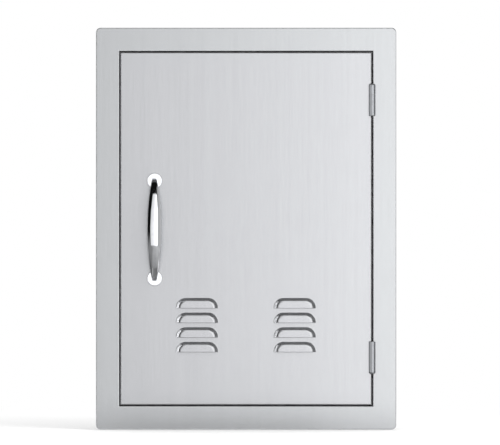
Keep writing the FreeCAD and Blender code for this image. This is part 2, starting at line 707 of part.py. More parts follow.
def bow_section(reach, height, angle):
    """One closed section of the bow, square to its path.

    The reach is from the door's face, the height from the bow's middle, and the angle turns the path
    from straight out, at the post, to straight down, at the crown.
    """
    share = 1 - (2 * height / HANDLE_OUTLINE_LENGTH) ** 2
    width = max(HANDLE_POST_WIDTH, HANDLE_MIDDLE_WIDTH * share ** HANDLE_OUTLINE_TAPER)
    post_share = (HANDLE_MIDDLE_WIDTH - width) / (HANDLE_MIDDLE_WIDTH - HANDLE_POST_WIDTH)
    squareness = HANDLE_MIDDLE_SQUARENESS + (HANDLE_POST_SQUARENESS - HANDLE_MIDDLE_SQUARENESS) * post_share
    centre = Vector(HANDLE_X, FRONT_Y - reach, HANDLE_Z + height)
    outwards = Vector(0, -math.sin(angle), math.cos(angle))
    points = []
    for step in range(HANDLE_SECTION_POINTS):
        turn = 2 * math.pi * step / HANDLE_SECTION_POINTS
        across = math.copysign(abs(math.cos(turn)) ** (2 / squareness), math.cos(turn))
        out = math.copysign(abs(math.sin(turn)) ** (2 / squareness), math.sin(turn))
        points.append(centre + X_AXIS * across * width / 2 + outwards * out * HANDLE_THICKNESS / 2)
    curve = Part.BSplineCurve()
    curve.interpolate(Points=points, PeriodicFlag=True, Parameters=list(range(HANDLE_SECTION_POINTS + 1)))
    return Part.Wire([curve.toShape()])


def bow_path():
    """Reach, height and angle along the upper half of the bow: post, shoulder and crown."""
    shoulder = math.radians(HANDLE_SHOULDER_ANGLE)
    lean = math.pi / 2 - shoulder
    half = HANDLE_SPACING / 2
    crown_half = half - HANDLE_SHOULDER_RADIUS * (1 - math.sin(lean))
    crown_radius = crown_half / math.sin(lean)
    crown_sag = crown_radius * (1 - math.cos(lean))
    post = HANDLE_REACH - crown_sag - HANDLE_SHOULDER_RADIUS * math.cos(lean)
    stations = [(ROSETTE_HEIGHT, half, 0.0), ((ROSETTE_HEIGHT + post) / 2, half, 0.0)]
    for step in range(HANDLE_SHOULDER_STEPS + 1):
        angle = shoulder * step / HANDLE_SHOULDER_STEPS
        reach = post + HANDLE_SHOULDER_RADIUS * math.sin(angle)
        height = half - HANDLE_SHOULDER_RADIUS * (1 - math.cos(angle))
        stations.append((reach, height, angle))
    for step in range(1, HANDLE_CROWN_STEPS + 1):
        left = lean * (1 - step / HANDLE_CROWN_STEPS)
        reach = HANDLE_REACH - crown_radius * (1 - math.cos(left))
        stations.append((reach, crown_radius * math.sin(left), math.pi / 2 - left))
    return stations


def make_handle_bow():
    """The bow, lofted along its path and mirrored about its middle."""
    upper = bow_path()
    lower = [(reach, -height, math.pi - angle) for reach, height, angle in reversed(upper[:-1])]
    bow = Part.makeLoft([bow_section(*station) for station in upper + lower], True, False)
    bores = []
    for height in HANDLE_HEIGHTS:
        start = Vector(HANDLE_X, POST_END_Y, height)
        bores.append(rod(HANDLE_SCREW_RADIUS + RUNNING_CLEARANCE, start, -Y_AXIS,
                         HANDLE_SCREW_REACH + HANDLE_BORE_SPARE))
    return bow.cut(bores)


def make_rosette(height):
    """The polished disc between a post and the door."""
    inner = HANDLE_SCREW_RADIUS + HOLE_CLEARANCE
    outer = ROSETTE_DIAMETER / 2
    rim = (outer, ROSETTE_HEIGHT - ROSETTE_EDGE_RADIUS)
    points = [
        (inner, 0),
        (outer, 0),
        rim,
        rounded(rim, (outer - ROSETTE_EDGE_RADIUS, ROSETTE_HEIGHT)),
        (inner, ROSETTE_HEIGHT),
    ]
    return turned(points, Vector(HANDLE_X, FRONT_Y, height), -Y_AXIS)


def make_backing_plate():
    plate = box(HANDLE_X - BACKING_WIDTH / 2, HANDLE_X + BACKING_WIDTH / 2,
                SKIN_BACK_Y, SKIN_BACK_Y + BACKING_SHEET,
                HANDLE_HEIGHTS[1] - BACKING_MARGIN, HANDLE_HEIGHTS[0] + BACKING_MARGIN)
    corners = [edge for edge in plate.Edges if abs(edge.BoundBox.YLength - BACKING_SHEET) < ON_PLANE]
    plate = plate.makeFillet(BACKING_CORNER_RADIUS, corners)
    for height in HANDLE_HEIGHTS:
        plate = plate.cut(through_hole(HANDLE_SCREW_RADIUS + HOLE_CLEARANCE,
                                       Vector(HANDLE_X, SKIN_BACK_Y, height), Y_AXIS, BACKING_SHEET))
    return plate


def pan_head_screw(at, direction, radius, length, head_radius, head_height):
    """A screw whose head rests at the given point: the shank runs along the direction."""
    rim = (head_radius, -head_height * SCREW_RIM_SHARE)
    points = [
        (0, length),
        (radius * SCREW_TIP_SHARE, length),
        (radius, length - radius * SCREW_POINT_SHARE),
        (radius, 0),
        (head_radius, 0),
        rim,
        rounded(rim, (head_radius * SCREW_FLAT_SHARE, -head_height)),
        (0, -head_height),
    ]
    return turned(points, at, direction)


def make_handle_fasteners():
    seat_y = SKIN_BACK_Y + BACKING_SHEET
    screws = []
    washers = []
    plugs = []
    for height in HANDLE_HEIGHTS:
        under_head = Vector(HANDLE_X, seat_y + WASHER_SHEET, height)
        length = WASHER_SHEET + BACKING_SHEET + SKIN_SHEET + ROSETTE_HEIGHT + HANDLE_SCREW_REACH
        screws.append(pan_head_screw(under_head, -Y_AXIS, HANDLE_SCREW_RADIUS, length,
                                     HANDLE_SCREW_HEAD_RADIUS, HANDLE_SCREW_HEAD_HEIGHT))
        seat = Vector(HANDLE_X, seat_y, height)
        ring = rod(WASHER_RADIUS, seat, Y_AXIS, WASHER_SHEET)
        washers.append(ring.cut(rod(HANDLE_SCREW_RADIUS + HOLE_CLEARANCE, seat, Y_AXIS, WASHER_SHEET)))
        hub = PLUG_HOLE_RADIUS - RUNNING_CLEARANCE
        points = [
            (0, 0),
            (hub - PLUG_WALL, 0),
            (hub - PLUG_WALL, -PLUG_DEPTH),
            (hub, -PLUG_DEPTH),
            (hub, 0),
            (PLUG_HEAD_RADIUS, 0),
            (PLUG_HEAD_RADIUS - PLUG_HEAD_BEVEL, PLUG_HEAD_HEIGHT),
            (0, PLUG_HEAD_HEIGHT),
        ]
        plugs.append(turned(points, Vector(HANDLE_X, DOOR_BACK_Y, height), Y_AXIS))
    return {
        "handle_screws": Part.makeCompound(screws),
        "handle_washers": Part.makeCompound(washers),
        "liner_plugs": Part.makeCompound(plugs),
    }


def strike_rivet_points():
    z = STRIKE_HALF_HEIGHT - STRIKE_RIVET_INSET
    y = DOOR_BACK_Y + STRIKE_SHEET
    return [Vector(CATCH_X, y, DOOR_CENTRE_Z + sign * z) for sign in (-1, 1)]


def strike_holes():
    """Shank holes of the strike's rivets in the liner."""
    radius = RIVET_SHANK_RADIUS + RUNNING_CLEARANCE
    thickness = STRIKE_SHEET + LINER_SHEET
    return [through_hole(radius, at, -Y_AXIS, thickness) for at in strike_rivet_points()]


def make_strike():
    plate = box(CATCH_X - STRIKE_WIDTH / 2, CATCH_X + STRIKE_WIDTH / 2,
                DOOR_BACK_Y, DOOR_BACK_Y + STRIKE_SHEET,
                DOOR_CENTRE_Z - STRIKE_HALF_HEIGHT, DOOR_CENTRE_Z + STRIKE_HALF_HEIGHT)
    corners = [edge for edge in plate.Edges if abs(edge.BoundBox.YLength - STRIKE_SHEET) < ON_PLANE]
    plate = plate.makeFillet(STRIKE_CORNER_RADIUS, corners)
    rivets = []
    for at in strike_rivet_points():
        plate = plate.cut(rivet_tool(at, -Y_AXIS, STRIKE_SHEET))
        rivets.append(rivet(at, -Y_AXIS, STRIKE_SHEET + LINER_SHEET))
    return {"strike_plate": plate, "strike_rivets": Part.makeCompound(rivets)}


def make_catch():
    """Case with two ears, a magnet between two pole plates, and two screws."""
    x0 = WEB_X
    x1 = WEB_X + CATCH_WIDTH
    y0 = CATCH_FRONT_Y
    y1 = CATCH_FRONT_Y + CATCH_DEPTH
    z = DOOR_CENTRE_Z
    case = box(x0, x1, y0, y1, z - CATCH_BODY_HALF_HEIGHT, z + CATCH_BODY_HALF_HEIGHT)
    case = case.makeFillet(CATCH_EDGE_RADIUS, [edge for edge in case.Edges
                                               if edge.BoundBox.XMax > x1 - ON_PLANE])
    ears = box(x0, x0 + CATCH_EAR_THICKNESS, y0, y1, z - CATCH_HALF_HEIGHT, z + CATCH_HALF_HEIGHT)
    ears = ears.makeFillet(CATCH_EAR_RADIUS, [edge for edge in ears.Edges if edge.BoundBox.XLength > ON_PLANE
                                              and edge.BoundBox.YLength < ON_PLANE
                                              and edge.BoundBox.ZLength < ON_PLANE])
    stack = MAGNET_THICKNESS + 2 * POLE_SHEET
    floor_y = POLE_FRONT_Y + CATCH_HOLLOW_DEPTH
    pocket = box(CATCH_X - stack / 2, CATCH_X + stack / 2, y0 - CUT_MARGIN, floor_y,
                 z - MAGNET_HALF_HEIGHT, z + MAGNET_HALF_HEIGHT)
    case = case.fuse(ears).cut(pocket).removeSplitter()
    screws = []
    for sign in (-1, 1):
        at = Vector(x0 + CATCH_EAR_THICKNESS, CATCH_SCREW_Y, z + sign * CATCH_SCREW_HEIGHT)
        case = case.cut(through_hole(CATCH_SCREW_RADIUS + HOLE_CLEARANCE, at, -X_AXIS,
                                     CATCH_EAR_THICKNESS))
        length = CATCH_EAR_THICKNESS + 2 * FRAME_SHEET
        screws.append(pan_head_screw(at, -X_AXIS, CATCH_SCREW_RADIUS, length,
                                     CATCH_SCREW_HEAD_RADIUS, CATCH_SCREW_HEAD_HEIGHT))
    half = MAGNET_THICKNESS / 2
    magnet = box(CATCH_X - half, CATCH_X + half, POLE_FRONT_Y + 2 * POLE_PROUD, floor_y,
                 z - MAGNET_HALF_HEIGHT, z + MAGNET_HALF_HEIGHT)
    poles = []
    for side in (-1, 1):
        a, b = sorted((CATCH_X + side * half, CATCH_X + side * (half + POLE_SHEET)))
        poles.append(box(a, b, POLE_FRONT_Y, floor_y, z - MAGNET_HALF_HEIGHT, z + MAGNET_HALF_HEIGHT))
    return {
        "catch_housing": case,
        "catch_magnet": magnet,
        "catch_pole_plates": Part.makeCompound(poles),
        "catch_screws": Part.makeCompound(screws),
    }


def make_bumpers():
    """Push-in rubber buttons: a domed head in front of the stop and a barb behind it."""
    head = STOP_Y - DOOR_BACK_Y - BODY_CLEARANCE
    bumpers = []
    rim = (BUMPER_RADIUS, -BUMPER_RIM)
    for x, z in bumper_places():
        points = [
            (0, FRAME_SHEET + BUMPER_BARB_HEIGHT),
            (BUMPER_BARB_TIP_RADIUS, FRAME_SHEET + BUMPER_BARB_HEIGHT),
            (BUMPER_BARB_RADIUS, FRAME_SHEET),
            (BUMPER_NECK_RADIUS, FRAME_SHEET),
            (BUMPER_NECK_RADIUS, 0),
            (BUMPER_RADIUS, 0),
            rim,
            rounded(rim, (BUMPER_FLAT_RADIUS, -head)),
            (0, -head),
        ]
        bumpers.append(turned(points, Vector(x, STOP_Y, z), Y_AXIS))
    return Part.makeCompound(bumpers)


def place_hinges():
    """The upper hinge as made and the lower one as its mirror image."""
    nodes = {}
    for name, height in zip(("upper", "lower"), HINGE_HEIGHTS):
        for piece, shape in make_hinge().items():
            placed = shape
            if name == "lower":
                placed = shape.mirror(ORIGIN, Z_AXIS)
            placed.translate(Vector(HINGE_X, HINGE_Y, height))
            nodes[name + "_" + piece] = placed
    return nodes


def build():
    nodes = {"face_frame": make_face_frame()}
    nodes.update(make_sleeves())
    nodes.update(place_hinges())
    nodes["hinge_frame_rivets"] = hinge_rivets(1, LEAF_SHEET + FRAME_SHEET)
    nodes["hinge_door_rivets"] = hinge_rivets(-1, LEAF_SHEET + SKIN_SHEET + STIFFENER_SHEET)
    nodes.update(make_catch())
    nodes["door_bumpers"] = make_bumpers()
    nodes["door_skin"] = make_door_skin()
    nodes["door_liner"] = make_door_liner()
    nodes["hinge_stiffener"] = make_hinge_stiffener()
    nodes["handle_backing_plate"] = make_backing_plate()
    nodes["handle_bow"] = make_handle_bow()
    nodes["handle_rosette_upper"] = make_rosette(HANDLE_HEIGHTS[0])
    nodes["handle_rosette_lower"] = make_rosette(HANDLE_HEIGHTS[1])
    nodes.update(make_handle_fasteners())
    nodes.update(make_strike())
    return nodes


os.makedirs("parts", exist_ok=True)
for node, solid in build().items():
    solid.exportStep("parts/" + node + ".step")
    box_of = solid.BoundBox
    print(node, len(solid.Solids), "solids, valid", solid.isValid(), "volume", round(solid.Volume, 1),
          "x", round(box_of.XMin, 2), round(box_of.XMax, 2), "y", round(box_of.YMin, 2),
          round(box_of.YMax, 2), "z", round(box_of.ZMin, 2), round(box_of.ZMax, 2))
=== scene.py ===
import math

import bmesh
import bpy
from mathutils import Matrix, Vector


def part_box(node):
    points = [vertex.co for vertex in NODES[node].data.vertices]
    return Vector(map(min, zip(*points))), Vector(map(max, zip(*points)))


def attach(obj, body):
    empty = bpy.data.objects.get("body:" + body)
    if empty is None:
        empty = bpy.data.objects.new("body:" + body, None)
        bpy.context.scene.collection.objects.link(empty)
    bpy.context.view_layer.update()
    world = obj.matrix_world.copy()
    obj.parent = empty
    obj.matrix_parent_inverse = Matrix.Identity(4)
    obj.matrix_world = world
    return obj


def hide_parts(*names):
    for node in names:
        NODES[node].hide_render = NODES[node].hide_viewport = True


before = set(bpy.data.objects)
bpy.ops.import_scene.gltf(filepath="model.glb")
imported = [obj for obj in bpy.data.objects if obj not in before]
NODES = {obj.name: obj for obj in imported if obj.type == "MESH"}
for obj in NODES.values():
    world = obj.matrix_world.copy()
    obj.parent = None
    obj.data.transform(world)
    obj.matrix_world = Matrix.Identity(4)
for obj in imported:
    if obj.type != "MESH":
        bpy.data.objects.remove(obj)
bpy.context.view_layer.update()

# Looks of a vented access door for an outdoor kitchen island. Everything is in metres.
# The front faces -Y, +X is to the right and +Z is up.
MM = 0.001

# The photograph's frame, in its own pixels, and the scale on the door's face
PHOTO_WIDTH = 500
PHOTO_HEIGHT = 445
OBJECT_MIDDLE_PIXEL = (246.12, 228.66)
METRES_PER_PIXEL = 1.6905 * MM
CAMERA_LENS = 500.0
CAMERA_SENSOR = 36.0
CAMERA_CLIP_END = 100.0

# Sizes of the pressed sheet, as the part was built
SHEET = 1.0 * MM
BEND_RADIUS = 0.6 * MM
FLANGE_EDGE_RADIUS = 2.0 * MM
FLANGE_CORNER_RADIUS = 8.0 * MM
FLANGE_LIP = 7.0 * MM
DOOR_EDGE_RADIUS = 1.6 * MM
HINGE_NOTCH_HALF_WIDTH = 5.58 * MM
HINGE_NOTCH_DEPTH = 3.95 * MM
HINGE_NOTCH_END = 0.35 * MM
NOTCH_MARGIN = 5.0 * MM
NOTCH_HEAD_END = (3.4 * MM, 2.2 * MM)    # half the width at the end, and how far the taper runs
NOTCH_CAP_END = (4.7 * MM, 1.5 * MM)

# Louvres. Their side walls, crowns and corners are a little wider than the part's own.
LOUVRE_COLUMNS = 2
LOUVRE_ROWS = 4
LOUVRE_PITCH = 24.7 * MM
LOUVRE_COLUMN_SPACING = 165.2 * MM
LOUVRE_FIRST_HEIGHT = 89.0 * MM
LOUVRE_WIDTH = 70.5 * MM
LOUVRE_HEIGHT = 17.2 * MM
LOUVRE_CORNER = 16.4 * MM
LOUVRE_RISE = 5.5 * MM
LOUVRE_SIDE_SLOPE = 5.2 * MM
LOUVRE_TOP_SLOPE = 4.0 * MM
LOUVRE_CROWN_RADIUS = 8.0 * MM
LOUVRE_FOOT_SHARE = 0.17    # of the sloping wall, each way from its foot
LOUVRE_MOUTH_RADIUS = 0.65 * MM

# Spot welds that hold the surround's return to the sleeves
WELD_RADIUS = 3.1 * MM
WELD_RING_OUTSIDE = 2.7 * MM
WELD_RING_INSIDE = 2.1 * MM
WELD_DISH_RADIUS = 1.6 * MM
WELD_DISH_SHARE = 0.3    # of the ring's rise
WELD_RISE = 0.14 * MM
WELD_PITCH = 76.0 * MM
WELDS_UPRIGHT = 8
WELDS_ACROSS = 6

# Handle
HANDLE_SPACING = 165.0 * MM
HANDLE_SHOULDER_RADIUS = 22.0 * MM
HANDLE_SHOULDER_ANGLE = 70.0
HANDLE_THICKNESS = 9.0 * MM
HANDLE_POST_WIDTH = 9.0 * MM
HANDLE_MIDDLE_WIDTH = 24.0 * MM
HANDLE_OUTLINE_LENGTH = 180.0 * MM
HANDLE_OUTLINE_TAPER = 0.58
HANDLE_MIDDLE_SQUARENESS = 2.0
HANDLE_POST_SQUARENESS = 4.0
HANDLE_HOLE_RADIUS = 2.25 * MM

# Steps along each curve
BEND_STEPS = 8
LIP_BEND_STEPS = 6
FLANGE_EDGE_STEPS = 12
FLANGE_CORNER_STEPS = 10
DOOR_EDGE_STEPS = 8
DOOR_CORNER_STEPS = 6
LOUVRE_CORNER_STEPS = 16
LOUVRE_FOOT_STEPS = 6
LOUVRE_CROWN_STEPS = 14
LOUVRE_MOUTH_STEPS = 3
SCREW_HOLE_STEPS = 24
WELD_SIDES = 20
BOW_STEPS = 40
BOW_SIDES = 96

# Creases, in degrees, and tolerances, in metres
CREASE_ANGLE = 32.0
BOW_CREASE_ANGLE = 50.0
SAME_POINT = 1e-7
SAME_SEAM = 1e-6
SAME_LEVEL = 1e-5
FLAT_NORMAL = 0.999    # the least part along Y of a flat face's normal

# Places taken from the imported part
SURROUND_LOW, SURROUND_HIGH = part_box("face_frame")
SKIN_LOW, SKIN_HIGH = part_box("door_skin")
SLEEVE_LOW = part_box("sleeve_left")[0]
FRONT_Y = SURROUND_LOW.y
DOOR_BACK_Y = SKIN_HIGH.y
OPEN_X = -SLEEVE_LOW.x
OPEN_Z = -SLEEVE_LOW.z
RETURN_END_Y = SURROUND_HIGH.y
FLANGE_BREADTH = SURROUND_HIGH.x - OPEN_X
DOOR_MIDDLE = (SKIN_LOW + SKIN_HIGH) / 2
DOOR_HALF_X = (SKIN_HIGH.x - SKIN_LOW.x) / 2
DOOR_HALF_Z = (SKIN_HIGH.z - SKIN_LOW.z) / 2
HANDLE_LOW, HANDLE_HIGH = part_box("handle_bow")
HANDLE_X = (HANDLE_LOW.x + HANDLE_HIGH.x) / 2
HANDLE_Z = (HANDLE_LOW.z + HANDLE_HIGH.z) / 2
HANDLE_REACH = FRONT_Y - HANDLE_LOW.y - HANDLE_THICKNESS / 2
ROSETTE_HEIGHT = FRONT_Y - HANDLE_HIGH.y
FLOOR_LEVEL = SURROUND_LOW.z - 0.5 * MM
UNDER_CARD_LEVEL = SURROUND_LOW.z - 5.0 * MM


# Mesh helpers

def make_object(name, mesh):
    """A new object at the origin, with its place in its mesh."""
    made = bpy.data.objects.new(name, mesh)
    bpy.context.scene.collection.objects.link(made)
    return made


def mesh_from(name, points, faces):
    """A mesh from its points and faces."""
    mesh = bpy.data.meshes.new(name)
    mesh.from_pydata(points, [], faces)
    mesh.validate()
    return mesh


def tidy_mesh(mesh):
    """Merges doubles and turns every face outwards on a closed shape."""
    work = bmesh.new()
    work.from_mesh(mesh)
    bmesh.ops.remove_doubles(work, verts=work.verts, dist=SAME_POINT)
    bmesh.ops.dissolve_degenerate(work, edges=work.edges, dist=SAME_POINT)
    bmesh.ops.recalc_face_normals(work, faces=work.faces)
    work.to_mesh(mesh)
    work.free()


def smooth_by_angle(mesh, degrees=CREASE_ANGLE):
    """Smooth shading, with creases where faces meet at more than the given angle."""
    mesh.polygons.foreach_set("use_smooth", [True] * len(mesh.polygons))
    mesh.set_sharp_from_angle(angle=math.radians(degrees))
    mesh.update()


def finished(made, body, material, stands_for=()):
    """Puts a material on a new piece, ties it to its body, and hides the nodes it stands for."""
    made.data.materials.clear()
    made.data.materials.append(material)
    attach(made, body)
    if stands_for:
        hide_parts(*stands_for)
    return made


def weigh_normals(made):
    """Keeps large flat faces flat beside small bends."""
    weighted = made.modifiers.new("flat_faces", "WEIGHTED_NORMAL")
    weighted.keep_sharp = True


def applied(made):
    """Turns an object's modifiers into its plain mesh."""
    bpy.context.view_layer.update()
    graph = bpy.context.evaluated_depsgraph_get()
    mesh = bpy.data.meshes.new_from_object(made.evaluated_get(graph))
    made.modifiers.clear()
    made.data = mesh
    return made


def cut_prisms(made, outlines, front, back):
    """Takes upright outlines out of a piece, from one depth to another."""
    points = []
    faces = []
    for outline in outlines:
        first = len(points)
        count = len(outline)
        points += [(x, y, z) for y in (front, back) for x, z in outline]
        for ring in (0, count):
            faces.append([first + ring + corner for corner in range(count)])
        for corner in range(count):
            after = (corner + 1) % count
            faces.append([first + place for place in (corner, after, count + after, count + corner)])
    cutter = make_object("cutter", mesh_from("cutter", points, faces))
    tidy_mesh(cutter.data)
    cut = made.modifiers.new("cut", "BOOLEAN")
    cut.object = cutter
    cut.operation = "DIFFERENCE"
    cut.solver = "MANIFOLD"
    applied(made)
    bpy.data.objects.remove(cutter)
    return made


# Outlines and sweeps

def arc(centre, radius, start, turn, steps):
    """Points of an arc without its first one. Angles are in degrees."""
    points = []
    for step in range(1, steps + 1):
        angle = math.radians(start + turn * step / steps)
        points.append((centre[0] + radius * math.cos(angle), centre[1] + radius * math.sin(angle)))
    return points


def bent_outline(start, heading, moves, sheet):
    """The closed cross-section of bent sheet, along its middle line.

    A move is a length to run straight, or a middle radius, an angle and a number of steps for a bend.
    """
    x, y = start
    angle = math.radians(heading)
    left = []
    right = []

    def add_pair():
        for points, offset in ((left, sheet / 2), (right, -sheet / 2)):
            points.append((x - offset * math.sin(angle), y + offset * math.cos(angle)))

    add_pair()
    for move in moves:
        if isinstance(move, tuple):
            radius, turn, steps = move
            way = math.copysign(1.0, turn)
            centre_x = x - way * radius * math.sin(angle)
            centre_y = y + way * radius * math.cos(angle)
            first_angle = angle
            for step in range(1, steps + 1):
                angle = first_angle + math.radians(turn) * step / steps
                x = centre_x + way * radius * math.sin(angle)
                y = centre_y - way * radius * math.cos(angle)
                add_pair()
        else:
            x += move * math.cos(angle)
            y += move * math.sin(angle)
            add_pair()
    return left + right[::-1]


def corner_ring(middle, half_x, half_z, radius, y, steps):
    """A rectangle with round corners, as points at one depth."""
    ring = []
    signs = ((1, 1), (-1, 1), (-1, -1), (1, -1))
    for corner, (sign_x, sign_z) in enumerate(signs):
        for step in range(steps + 1):
            angle = math.radians(90 * (corner + step / steps))
            x = middle[0] + sign_x * (half_x - radius) + radius * math.cos(angle)
            z = middle[1] + sign_z * (half_z - radius) + radius * math.sin(angle)
            ring.append((x, y, z))
    return ring


def join_rings(rings, closed_rings, closed_path):
    """Points and faces that join rings of equal length."""
    size = len(rings[0])
    points = [point for ring in rings for point in ring]
    faces = []
    ring_pairs = len(rings) if closed_path else len(rings) - 1
    side_pairs = size if closed_rings else size - 1
    for ring in range(ring_pairs):
        here = ring * size
        there = (ring + 1) % len(rings) * size
        for side in range(side_pairs):
            after = (side + 1) % size
            faces.append((here + side, here + after, there + after, there + side))
    return points, faces


# Surround

def surround_outline():
    """The surround's section: distance outwards from the opening's face, then Y."""
    middle = BEND_RADIUS + SHEET / 2
    edge = FLANGE_EDGE_RADIUS - SHEET / 2
    moves = [
        RETURN_END_Y - FRONT_Y - SHEET / 2 - middle,
        (middle, 90.0, BEND_STEPS),
        FLANGE_BREADTH - SHEET - middle - edge,
        (edge, 90.0, FLANGE_EDGE_STEPS),
        -FRONT_Y - SHEET - edge - middle,
        (middle, 90.0, LIP_BEND_STEPS),
        FLANGE_LIP - SHEET / 2 - middle,
    ]
    return bent_outline((SHEET / 2, RETURN_END_Y), -90.0, moves, SHEET)


def cut_notches(made):
    """Takes clearance for both barrels out of a sheet. It narrows towards the pin's head and cap."""
    outlines = []
    for place in ("upper", "lower"):
        pin_low, pin_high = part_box(place + "_hinge_pin")
        cap_low, cap_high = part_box(place + "_hinge_pin_cap")
        middle = (pin_low.x + pin_high.x) / 2
        low = min(pin_low.z, cap_low.z) - HINGE_NOTCH_END
        high = max(pin_high.z, cap_high.z) + HINGE_NOTCH_END
        bottom, top = NOTCH_CAP_END, NOTCH_HEAD_END
        if cap_high.z > pin_high.z:
            bottom, top = top, bottom
        right_side = [(bottom[0], low), (HINGE_NOTCH_HALF_WIDTH, low + bottom[1]),
                      (HINGE_NOTCH_HALF_WIDTH, high - top[1]), (top[0], high)]
        left_side = [(-x, z) for x, z in reversed(right_side)]
        outlines.append([(middle + x, z) for x, z in right_side + left_side])
    return cut_prisms(made, outlines, FRONT_Y - NOTCH_MARGIN, FRONT_Y + HINGE_NOTCH_DEPTH)


def make_surround(material):
    """The flat surround with its bent outer edge and its return into the opening."""
    corner_start = FLANGE_BREADTH - FLANGE_CORNER_RADIUS
    rings = []
    for out, y in surround_outline():
        radius = max(0.0, out - corner_start)
        rings.append(corner_ring((0.0, 0.0), OPEN_X + out, OPEN_Z + out, radius, y, FLANGE_CORNER_STEPS))
    mesh = mesh_from("surround_sheet", *join_rings(rings, True, True))
    tidy_mesh(mesh)
    made = cut_notches(make_object("surround_sheet", mesh))
    smooth_by_angle(made.data)
    finished(made, "frame", material, ["face_frame"])
    weigh_normals(made)
    return made


def weld_mark(turn):
    """One spot weld: a low ring round a dished middle, facing -Y and then turned."""
    profile = ((WELD_RADIUS, 0.0), (WELD_RING_OUTSIDE, WELD_RISE), (WELD_RING_INSIDE, WELD_RISE),
               (WELD_DISH_RADIUS, WELD_DISH_SHARE * WELD_RISE))
    angles = [2 * math.pi * side / WELD_SIDES for side in range(WELD_SIDES)]
    rings = []
    for radius, rise in profile:
        rings.append([(radius * math.cos(angle), -rise, radius * math.sin(angle)) for angle in angles])
    points, faces = join_rings(rings, True, False)
    faces.append(list(range(WELD_SIDES)))
    faces.append(list(range(len(points) - WELD_SIDES, len(points))))
    mesh = mesh_from("spot_weld", points, faces)
    tidy_mesh(mesh)
    mesh.transform(turn)
    return mesh


def make_welds(material):
    """Rows of spot welds where the surround's return lies on the sleeves."""
    tree = grid_tree(material)
    y = (SLEEVE_LOW.y + RETURN_END_Y) / 2
    side = OPEN_X + SHEET
    end = OPEN_Z + SHEET
    quarter = math.pi / 2
    rows = (
        (Matrix.Rotation(quarter, 4, "Z"), (side, y, 0.0), 1, WELDS_UPRIGHT),
        (Matrix.Rotation(-quarter, 4, "Z"), (-side, y, 0.0), 1, WELDS_UPRIGHT),
        (Matrix.Rotation(-quarter, 4, "X"), (0.0, y, end), WELDS_ACROSS, 1),
        (Matrix.Rotation(quarter, 4, "X"), (0.0, y, -end), WELDS_ACROSS, 1),
    )
    joined = bmesh.new()
    for turn, middle, columns, count in rows:
        marks = make_object("spot_weld_row", weld_mark(turn))
        set_inputs(marks, tree, {"Columns": columns, "Rows": count, "Column spacing": WELD_PITCH,
                                 "Row pitch": WELD_PITCH, "Middle": Vector(middle)})
        joined.from_mesh(applied(marks).data)
        bpy.data.objects.remove(marks)
    mesh = bpy.data.meshes.new("sleeve_spot_welds")
    joined.to_mesh(mesh)
    joined.free()
    return finished(make_object("sleeve_spot_welds", mesh), "frame", material)


# Door skin

def hood_outline(share):
    """A louvre's open outline, from its lower left end over the top to its lower right end.

    The share runs from 0 at the foot of the sloping wall to 1 at the crown.
    """
    half = LOUVRE_WIDTH / 2 - share * LOUVRE_SIDE_SLOPE
    top = LOUVRE_HEIGHT - share * LOUVRE_TOP_SLOPE
    corner = LOUVRE_CORNER - share * LOUVRE_TOP_SLOPE
    points = [(-half, 0.0), (-half, top - corner)]
    points += arc((-half + corner, top - corner), corner, 180.0, -90.0, LOUVRE_CORNER_STEPS)
    points.append((half - corner, top))
    points += arc((half - corner, top - corner), corner, 90.0, -90.0, LOUVRE_CORNER_STEPS)
    points.append((half, 0.0))
    return points


def hood_profile():
    """Pairs of share and rise over the sloping wall: rounded foot, wall and crown fillet."""
    pairs = []
    for step in range(LOUVRE_FOOT_STEPS + 1):
        t = step / LOUVRE_FOOT_STEPS
        share = LOUVRE_FOOT_SHARE * (2 * t - 1)
        pairs.append((share, LOUVRE_RISE * LOUVRE_FOOT_SHARE * t * t))
    turn = math.atan2(LOUVRE_RISE, LOUVRE_SIDE_SLOPE)
    reach = LOUVRE_CROWN_RADIUS * math.tan(turn / 2)
    for step in range(LOUVRE_CROWN_STEPS + 1):
        angle = turn * (1 - step / LOUVRE_CROWN_STEPS)
        share = 1 + (reach - LOUVRE_CROWN_RADIUS * math.sin(angle)) / LOUVRE_SIDE_SLOPE
        pairs.append((share, LOUVRE_RISE - LOUVRE_CROWN_RADIUS * (1 - math.cos(angle))))
    return pairs


def make_hood():
    """One pressed hood, with the middle of its mouth at the origin."""
    rings = []
    for share, rise in hood_profile():
        rings.append([(x, -rise, z) for x, z in hood_outline(share)])
    points, faces = join_rings(rings, False, False)
    size = len(rings[0])
    faces.append(list(range(len(points) - size, len(points))))
    return make_object("louvre_hood", mesh_from("louvre_hood", points, faces))


def grid_sockets(tree):
    """The named inputs of the grid's nodes, and their output."""
    kinds = {"Geometry": "Geometry", "Columns": "Int", "Rows": "Int", "Column spacing": "Float",
             "Row pitch": "Float", "Middle": "Vector"}
    for name, kind in kinds.items():
        tree.interface.new_socket(name, in_out="INPUT", socket_type="NodeSocket" + kind)
    tree.interface.new_socket("Geometry", in_out="OUTPUT", socket_type="NodeSocketGeometry")


def grid_points(tree, source):
    """A grid with one point for each copy, as wide and high as the spacings make it."""
    link = tree.links.new
    grid = tree.nodes.new("GeometryNodeMeshGrid")
    for count, spacing, vertices, size in (("Columns", "Column spacing", "Vertices X", "Size X"),
                                           ("Rows", "Row pitch", "Vertices Y", "Size Y")):
        less = tree.nodes.new("ShaderNodeMath")
        less.operation = "SUBTRACT"
        less.inputs[1].default_value = 1.0
        span = tree.nodes.new("ShaderNodeMath")
        span.operation = "MULTIPLY"
        link(source.outputs[count], less.inputs[0])
        link(less.outputs[0], span.inputs[0])
        link(source.outputs[spacing], span.inputs[1])
        link(span.outputs[0], grid.inputs[size])
        link(source.outputs[count], grid.inputs[vertices])
    return grid


